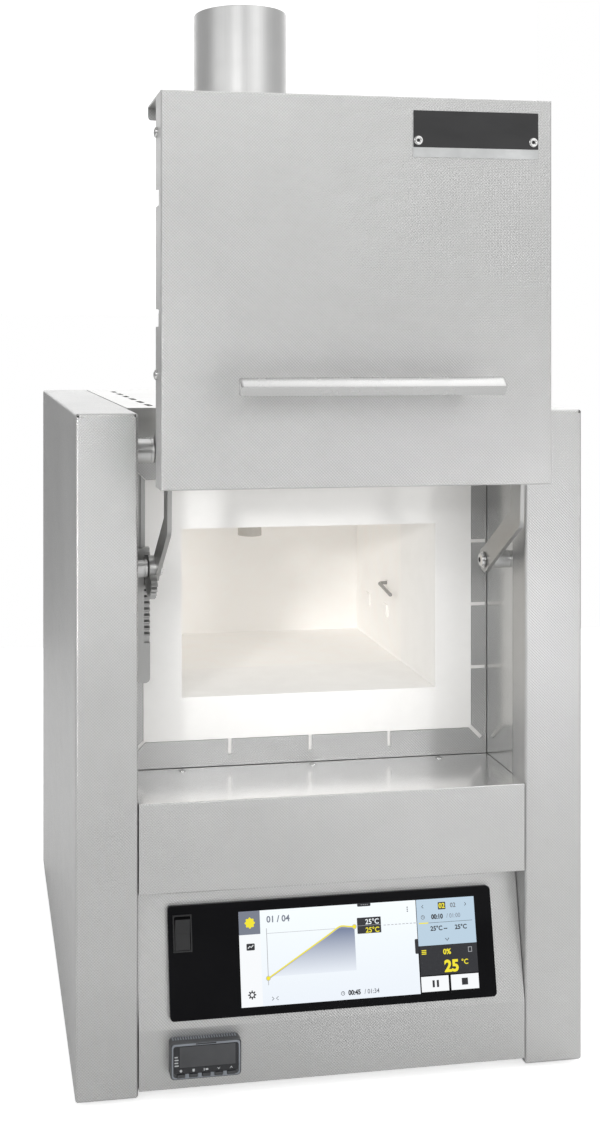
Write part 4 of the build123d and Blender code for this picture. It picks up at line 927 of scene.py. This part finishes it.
class FURNACE_OT_display(bpy.types.Operator):
    """Lit display behind the controller's glass: curve, figures, tiles and icons."""

    bl_idname = "furnace.display"
    bl_label = "Display"

    def execute(self, context):
        """Lay flat inks in thin layers on the glass."""
        self.inks = {}
        self.step = sizes().print_depth
        self.ground()
        self.icons()
        self.curve()
        self.figures()
        for ink, parts in self.inks.items():
            make("display_" + ink, parts, "lit_" + ink)
        return {"FINISHED"}

    def lay(self, ink, shape, *values):
        """Shape from its outlines or words in an ink; the last value is its layer."""
        *values, layer = values
        self.inks.setdefault(ink, []).append(
            shape(*values, on_glass, layer * self.step, self.step))

    def add(self, ink, outline, layer):
        """Filled outline in an ink, a number of layers over the glass."""
        self.lay(ink, flat_prism, outline, layer)

    def line(self, ink, points, width, layer):
        """Ribbon in an ink."""
        self.lay(ink, strip_prism, points, width, layer)

    def ring(self, ink, outer, inner, layer):
        """Ring in an ink."""
        self.lay(ink, ring_prism, outer, inner, layer)

    def ground(self):
        """Fields of the display, in millimetres across and down from the glass's corner."""
        self.add("white", slab(52.7, 7.0, 68.7, 72.7), 1)
        self.add("pale", slab(68.7, 7.0, 188.7, 72.7), 1)
        self.add("slate", slab(52.7, 7.0, 68.7, 23.2), 2)
        self.add("blue", slab(189.2, 7.0, 234.7, 39.7), 1)
        self.add("night", slab(189.6, 40.0, 234.7, 60.4), 1)
        self.add("white", slab(189.7, 61.2, 211.0, 71.8), 1)
        self.add("white", slab(212.8, 61.2, 234.5, 71.8), 1)
        self.add("night", slab(143.3, 6.6, 153.7, 9.0, 0.8), 2)
        self.add("night", slab(186.4, 34.4, 189.2, 44.8, 0.8), 2)
        for x in (146.2, 147.7, 149.2, 150.7):
            self.add("grey", slab(x, 7.6, x + 0.7, 8.0), 3)

    def icons(self):
        """Chamber, chart and settings icons, key symbols and menu dots."""
        a = np.linspace(0, TURN, 96, endpoint=False)
        wave = 3.5 + 0.42 * np.cos(8 * a)
        self.add("yellow", np.stack([61.0 + wave * np.cos(a), 15.2 + wave * np.sin(a)], axis=1), 3)
        self.add("night", slab(57.9, 29.4, 64.1, 34.1, 0.6), 2)
        self.line("white", [(59.0, 32.7), (60.4, 31.2), (61.4, 32.1), (63.1, 30.5)], 0.55, 3)
        teeth = 2.55 + 0.55 * np.tanh(4 * np.cos(8 * a))
        outer = np.stack([60.9 + teeth * np.cos(a), 64.5 + teeth * np.sin(a)], axis=1)
        self.ring("night", outer, disc(60.9, 64.5, 1.25, 96), 2)
        for y in (11.7, 13.1, 14.5):
            self.add("ash", disc(182.0, y, 0.5, 16), 2)
        for x in (198.3, 201.6):
            self.add("night", slab(x, 64.0, x + 1.7, 68.9), 2)
        self.add("night", slab(221.2, 63.9, 226.0, 68.7), 2)
        for x, y in ((129.2, 68.2), (193.8, 19.6)):
            self.ring("ash", disc(x, y, 1.5, 32), disc(x, y, 1.1, 32), 2)
            self.line("ash", [(x, y - 1.0), (x, y), (x + 0.8, y)], 0.35, 2)
        for x, way in ((193.9, -1), (227.7, 1)):
            self.line("night", [(x - way * 0.6, 11.0), (x + way * 0.6, 12.1),
                                (x - way * 0.6, 13.2)], 0.45, 2)
        self.line("ash", [(75.6, 66.8), (77.2, 68.0), (75.6, 69.2)], 0.5, 2)
        self.line("ash", [(80.4, 66.8), (78.8, 68.0), (80.4, 69.2)], 0.5, 2)
        self.line("night", [(210.4, 35.2), (211.8, 37.0), (213.2, 35.2)], 0.5, 2)
        self.add("night", slab(206.1, 9.6, 212.0, 14.8, 0.3), 2)
        for k in range(3):
            self.add("yellow", slab(191.3, 42.6 + 1.2 * k, 194.9, 43.3 + 1.2 * k), 2)
        self.ring("grey", slab(227.7, 42.4, 230.7, 46.0), slab(228.1, 42.8, 230.3, 45.6), 2)

    def curve(self):
        """Heating curve: a straight ramp that rounds over into a level hold."""
        x = np.linspace(73.4, 140.4, 60)
        ramp = 54.0 - (x - 73.4) * (54.0 - 21.6) / (129.8 - 73.4)
        hold = 21.9 + 0.08 * (x - 130.0)
        y = ramp + (hold - ramp) / (1 + np.exp(-(x - 129.6) / 1.9))
        top = np.stack([x, y], axis=1)
        bottom = np.stack([x[::-1], np.full(60, 53.0)], axis=1)
        rows = np.stack([top, bottom[::-1]], axis=1).reshape(-1, 2)
        front = on_glass(rows, 2 * self.step)
        back = on_glass(rows, self.step)
        quads = np.array(grid_faces(60, 2))
        self.inks["shade"] = [(np.concatenate([front, back]),
                               np.concatenate([quads, quads[:, ::-1] + 120]).tolist())]
        self.line("grey", [(73.4, 19.7), (73.4, 39.0), (73.4, 58.7)], 0.5, 2)
        self.line("grey", [(73.4, 23.2), (110.0, 23.2), (140.4, 23.2)], 0.28, 2)
        self.line("grey", top + np.array([0.0, 0.25]), 1.35, 3)
        self.line("yellow", top, 0.85, 4)
        for k in range(9):
            self.line("grey", [(163.0 + 2.9 * k, 23.1), (164.9 + 2.9 * k, 23.1)], 0.5, 2)
        for x, y in ((73.4, 54.0), (140.4, 22.7)):
            self.add("grey", disc(x, y, 1.75), 4)
            self.add("yellow", disc(x, y, 1.35), 5)
        self.add("night", slab(142.6, 16.8, 161.0, 28.0, 0.4), 2)
        self.line("grey", [(142.6, 22.4), (152.0, 22.4), (161.0, 22.4)], 0.2, 3)

    def figures(self):
        """Plain numbers of the display."""
        for ink, words, x, y, height, bold, squeeze in (
                ("pale", "25\u00b0C", 148.9, 21.6, 3.5, 0.015, 1.0),
                ("yellow", "25\u00b0C", 148.9, 27.4, 3.5, 0.02, 1.0),
                ("slate", "01 / 04", 73.6, 15.6, 4.3, 0.025, 1.0),
                ("night", "00:45", 133.3, 69.6, 3.2, 0.045, 0.92),
                ("ash", "/ 01:34", 145.6, 69.6, 3.1, 0.01, 0.92),
                ("yellow", "02", 206.6, 13.8, 3.4, 0.03, 1.0),
                ("ash", "02", 215.6, 13.7, 3.1, 0.015, 1.0),
                ("night", "00:10", 200.4, 21.2, 3.2, 0.045, 0.88),
                ("slate", "/ 01:00", 212.3, 21.1, 3.1, 0.0, 0.88),
                ("night", "25\u00b0C", 199.2, 29.4, 3.1, 0.03, 1.0),
                ("night", "--", 209.6, 29.4, 3.1, 0.03, 1.0),
                ("night", "25\u00b0C", 218.4, 29.4, 3.1, 0.03, 1.0),
                ("yellow", "0%", 208.0, 46.4, 3.6, 0.03, 1.0),
                ("yellow", "25", 208.4, 58.6, 7.8, 0.04, 1.0),
                ("yellow", "\u00b0C", 221.8, 54.2, 3.4, 0.02, 1.0)):
            self.lay(ink, lettering, words, x, y, height, bold, squeeze, 5)
        self.add("yellow", slab(190.6, 23.4, 197.8, 24.2), 2)
        self.line("night", [(197.8, 23.8), (215.0, 23.8), (232.4, 23.8)], 0.25, 2)


class FURNACE_OT_limiter(bpy.types.Operator):
    """Ribs, window surround, marks and symbols of the temperature limiter."""

    bl_idname = "furnace.limiter"
    bl_label = "Limiter"

    def execute(self, context):
        """Flat marks over the housing and a row of round-topped ribs along its top."""
        low, high = box_of("limiter_housing")
        x0, x1, z0, z1 = (value / MM for value in (low[0], high[0], low[2], high[2]))
        layer = 0.05 * MM
        edge = slab(x0 + 0.9, z0 + 0.9, x1 - 0.9, z1 - 0.9, 2.4)
        field = slab(x0 + 2.1, z0 + 4.4, x1 - 2.1, z1 - 2.5, 1.8)
        rim = [ring_prism(edge, slab(x0 + 1.9, z0 + 1.9, x1 - 1.9, z1 - 2.3, 2.0),
                          on_plinth, layer, layer)]
        keys = [float(sum(c[0] for c in box_of(f"limiter_button_{k}"))) / 2 / MM
                for k in range(1, 6)]
        for left, right in zip(keys, keys[1:]):
            rim.append(flat_prism(slab(left + 3.2, z0 + 1.9, right - 3.2, z0 + 4.2),
                                  on_plinth, layer, layer))
        make("limiter_rim", rim, "rim_grey")
        window = (x0 + 6.6, z0 + 8.9, x1 - 4.4, z1 - 3.0)
        make("limiter_surround", [ring_prism(field, slab(*window, 0.1), on_plinth, layer, layer)],
             "display_window")
        make("limiter_screen", [flat_prism(slab(*window), on_plinth, 0.4 * layer, 0.3 * layer)],
             "screen_grey")
        marks = []
        for k, width in enumerate((3.0, 2.6, 2.8, 2.4)):
            z = z0 + 10.0 + 2.05 * k
            marks.append(slab(x0 + 2.9, z, x0 + 2.9 + width, z + 0.9))
        symbols = (disc(0, 0, 0.8), slab(-0.7, -0.8, 0.7, 0.8, 0.4),
                   stroke([(-1.2, -0.7), (-1.2, 0.7)], 0.5),
                   np.array([(-1, 0.7), (0, -0.8), (1, 0.7), (0, 0.1)])[::-1],
                   np.array([(-1, -0.7), (0, 0.8), (1, -0.7), (0, -0.1)]))
        for x, symbol in zip(keys, symbols):
            marks.append(np.array(symbol) * 1.2 + np.array([x, z0 + 6.6]))
        marks.append(slab(keys[2] - 0.4, z0 + 6.0, keys[2] + 1.5, z0 + 7.2))
        make("limiter_marks",
             [flat_prism(mark, on_plinth, 2 * layer, layer) for mark in marks], "mark_white")
        latch = slab((x0 + x1) / 2 - 7.5, z1 - 1.9, (x0 + x1) / 2 + 7.5, z1 - 1.1, 0.3)
        make("limiter_latch", [flat_prism(latch, on_plinth, 2 * layer, layer)], "shadow_black")
        pitch = 1.9
        a = np.linspace(0, TURN / 2, 7)
        ribs = []
        for x in np.arange(x0 + 2.5, x1 - 2.5, pitch):
            outline = np.stack([x + 0.55 * np.cos(a), z1 - 0.1 + 0.5 * np.sin(a)], axis=1)
            ribs.append(flat_prism(outline, on_plinth, -4.0 * MM, 3.8 * MM))
        make("limiter_ribs", ribs, "rim_grey")
        return {"FINISHED"}


# ---------------------------------------------------------------- stage
class FURNACE_OT_stage(bpy.types.Operator):
    """Pale floor with a curved backdrop, studio lights and the camera."""

    bl_idname = "furnace.stage"
    bl_label = "Stage"

    def execute(self, context):
        """Build the floor, lights, world and camera."""
        scene = context.scene
        scene.view_settings.view_transform = "Standard"
        sheet = [(-1.6, -1.6, 0), (1.8, -1.6, 0), (1.8, 1.2, 0), (-1.6, 1.2, 0)]
        floor = mesh_object("floor", sheet, [(0, 1, 2, 3)])
        floor.data.materials.append(self.paper("paper", 0.04))
        angle = np.linspace(-0.42, 0.52, 24)
        rise = np.array([0.62, 2.6])
        a, z = np.meshgrid(angle, rise, indexing="ij")
        points = np.stack([2.4 * np.sin(a), 2.4 * np.cos(a), z], axis=-1).reshape(-1, 3)
        wall = mesh_object("backdrop", points, grid_faces(*a.shape))
        wall.data.materials.append(self.paper("backdrop_paper", 0.75))
        self.world(scene)
        for name, place, aim, size, power in (
                ("left_softbox", (-2.3, -1.2, 1.5), (0, 0, 0.4), (2.0, 1.8), 10.7),
                ("pipe_strip", (-0.9, -2.4, 1.6), (0, 0.18, 0.8), (0.9, 1.2), 13)):
            lamp = bpy.data.lights.new(name, "AREA")
            lamp.shape = "RECTANGLE"
            lamp.size, lamp.size_y = size
            lamp.energy = power
            self.hang(scene, lamp, place, aim)
        for name, place, aim, spread, power in (
                ("left_snoot", (-1.2, -1.8, 0.85), (0.01, 0.0, 0.325), 8.8, 60),
                ("right_snoot", (1.2, -1.8, 0.62), (-0.01, 0.0, 0.325), 10.0, 26),
                ("floor_snoot", (-0.75, -1.3, 0.95), (0.02, 0.06, 0.29), 9.0, 14)):
            snoot = bpy.data.lights.new(name, "SPOT")
            snoot.energy = power
            snoot.spot_size = math.radians(spread)
            snoot.spot_blend = 0.5
            snoot.shadow_soft_size = 0.12
            self.hang(scene, snoot, place, aim)
        self.camera(scene)
        return {"FINISHED"}

    def hang(self, scene, lamp, place, aim):
        """Put a lamp at a place, turned towards a point."""
        holder = bpy.data.objects.new(lamp.name, lamp)
        holder.location = place
        toward = Vector(aim) - Vector(place)
        holder.rotation_euler = toward.to_track_quat("-Z", "Y").to_euler()
        scene.collection.objects.link(holder)

    def paper(self, name, glow):
        """White paper: shows as white to the camera but keeps the shadow."""
        material = bpy.data.materials.new(name)
        material.use_nodes = True
        tree = material.node_tree
        rays = tree.nodes.new("ShaderNodeLightPath").outputs
        to_camera = 0.62
        seen = calc(tree, "MAXIMUM", times(tree, rays["Is Camera Ray"], to_camera),
                    times(tree, rays["Is Glossy Ray"], glow))
        wire(tree, tree.nodes["Principled BSDF"], {
            "Base Color": (0.9, 0.9, 0.9), "Roughness": 0.9, "Specular IOR Level": 0.1,
            "Emission Color": (1.0, 1.0, 1.0),
            "Emission Strength": calc(tree, "MAXIMUM", seen, rays["Is Transmission Ray"])})
        return material

    def world(self, scene):
        """Even pale surround, white to the camera and paler to the right in reflections."""
        world = bpy.data.worlds.new("studio")
        scene.world = world
        world.use_nodes = True
        tree = world.node_tree
        direction = tree.nodes.new("ShaderNodeTexCoord").outputs["Generated"]
        split = components(tree, direction)
        seen = tree.nodes.new("ShaderNodeLightPath").outputs["Is Camera Ray"]
        around = 0.0
        for axis, start, end, first, last in (
                ("X", -0.1, 0.45, 0.0, 1.61), ("X", 0.45, 0.8, 0.0, -1.2),
                ("X", -0.6, -0.1, 0.23, 0.0), ("Y", 0.1, 0.7, 0.0, 0.18),
                ("Z", 0.0, 0.35, 0.0, 0.12), ("Z", 0.82, 0.95, 0.0, 0.5),
                ("Z", -0.35, 0.0, 0.28, 0.0)):
            ramp = between(tree, split[axis], start, end, first, last)
            around = calc(tree, "ADD", ramp, around)
        wire(tree, tree.nodes["Background"], {
            "Color": (1.0, 1.0, 1.0), "Strength": between(tree, seen, 0.0, 1.0, around, 1.0)})

    def camera(self, scene):
        """Camera at eye height a little left of the furnace, with a shifted lens."""
        focal_px, centre_px, yaw = 1276.468, (164.28, 338.889), 0.148
        lens = bpy.data.cameras.new("camera")
        lens.sensor_width = 36.0
        lens.lens = focal_px / IMAGE[1] * lens.sensor_width
        lens.shift_x = (IMAGE[0] / 2 - centre_px[0]) / IMAGE[1]
        lens.shift_y = -(IMAGE[1] / 2 - centre_px[1]) / IMAGE[1]
        lens.clip_start = 0.05
        holder = bpy.data.objects.new("camera", lens)
        holder.location = (-0.2642, FRONT - 0.91223, 0.5506)
        holder.rotation_euler = (math.radians(90), 0, -yaw)
        scene.collection.objects.link(holder)
        scene.camera = holder


# ---------------------------------------------------------------- panel
class FURNACE_PT_panel(bpy.types.Panel):
    """Buttons for each group of pieces."""

    bl_idname = "FURNACE_PT_panel"
    bl_label = "Muffle furnace"
    bl_space_type = "VIEW_3D"
    bl_region_type = "UI"
    bl_category = "Furnace"

    def draw(self, context):
        """List the operators."""
        for operator in OPERATORS:
            self.layout.operator(operator.bl_idname)


OPERATORS = [FURNACE_OT_finishes, FURNACE_OT_chimney, FURNACE_OT_pivots, FURNACE_OT_handle,
             FURNACE_OT_screws, FURNACE_OT_plates, FURNACE_OT_display, FURNACE_OT_limiter,
             FURNACE_OT_stage]
CLASSES = [FurnaceSizes, FurnaceColours, FURNACE_PT_panel]


def register():
    """Register the classes and the scene's settings."""
    for item in CLASSES + OPERATORS:
        bpy.utils.register_class(item)
    bpy.types.Scene.furnace_sizes = bpy.props.PointerProperty(type=FurnaceSizes)
    bpy.types.Scene.furnace_colours = bpy.props.PointerProperty(type=FurnaceColours)


def unregister():
    """Undo register()."""
    del bpy.types.Scene.furnace_sizes
    del bpy.types.Scene.furnace_colours
    for item in reversed(CLASSES + OPERATORS):
        bpy.utils.unregister_class(item)


def main():
    """Dress the frame."""
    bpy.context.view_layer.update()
    register()
    for operator in OPERATORS:
        group, name = operator.bl_idname.split(".")
        getattr(getattr(bpy.ops, group), name)()


if __name__ == "__main__":
    main()
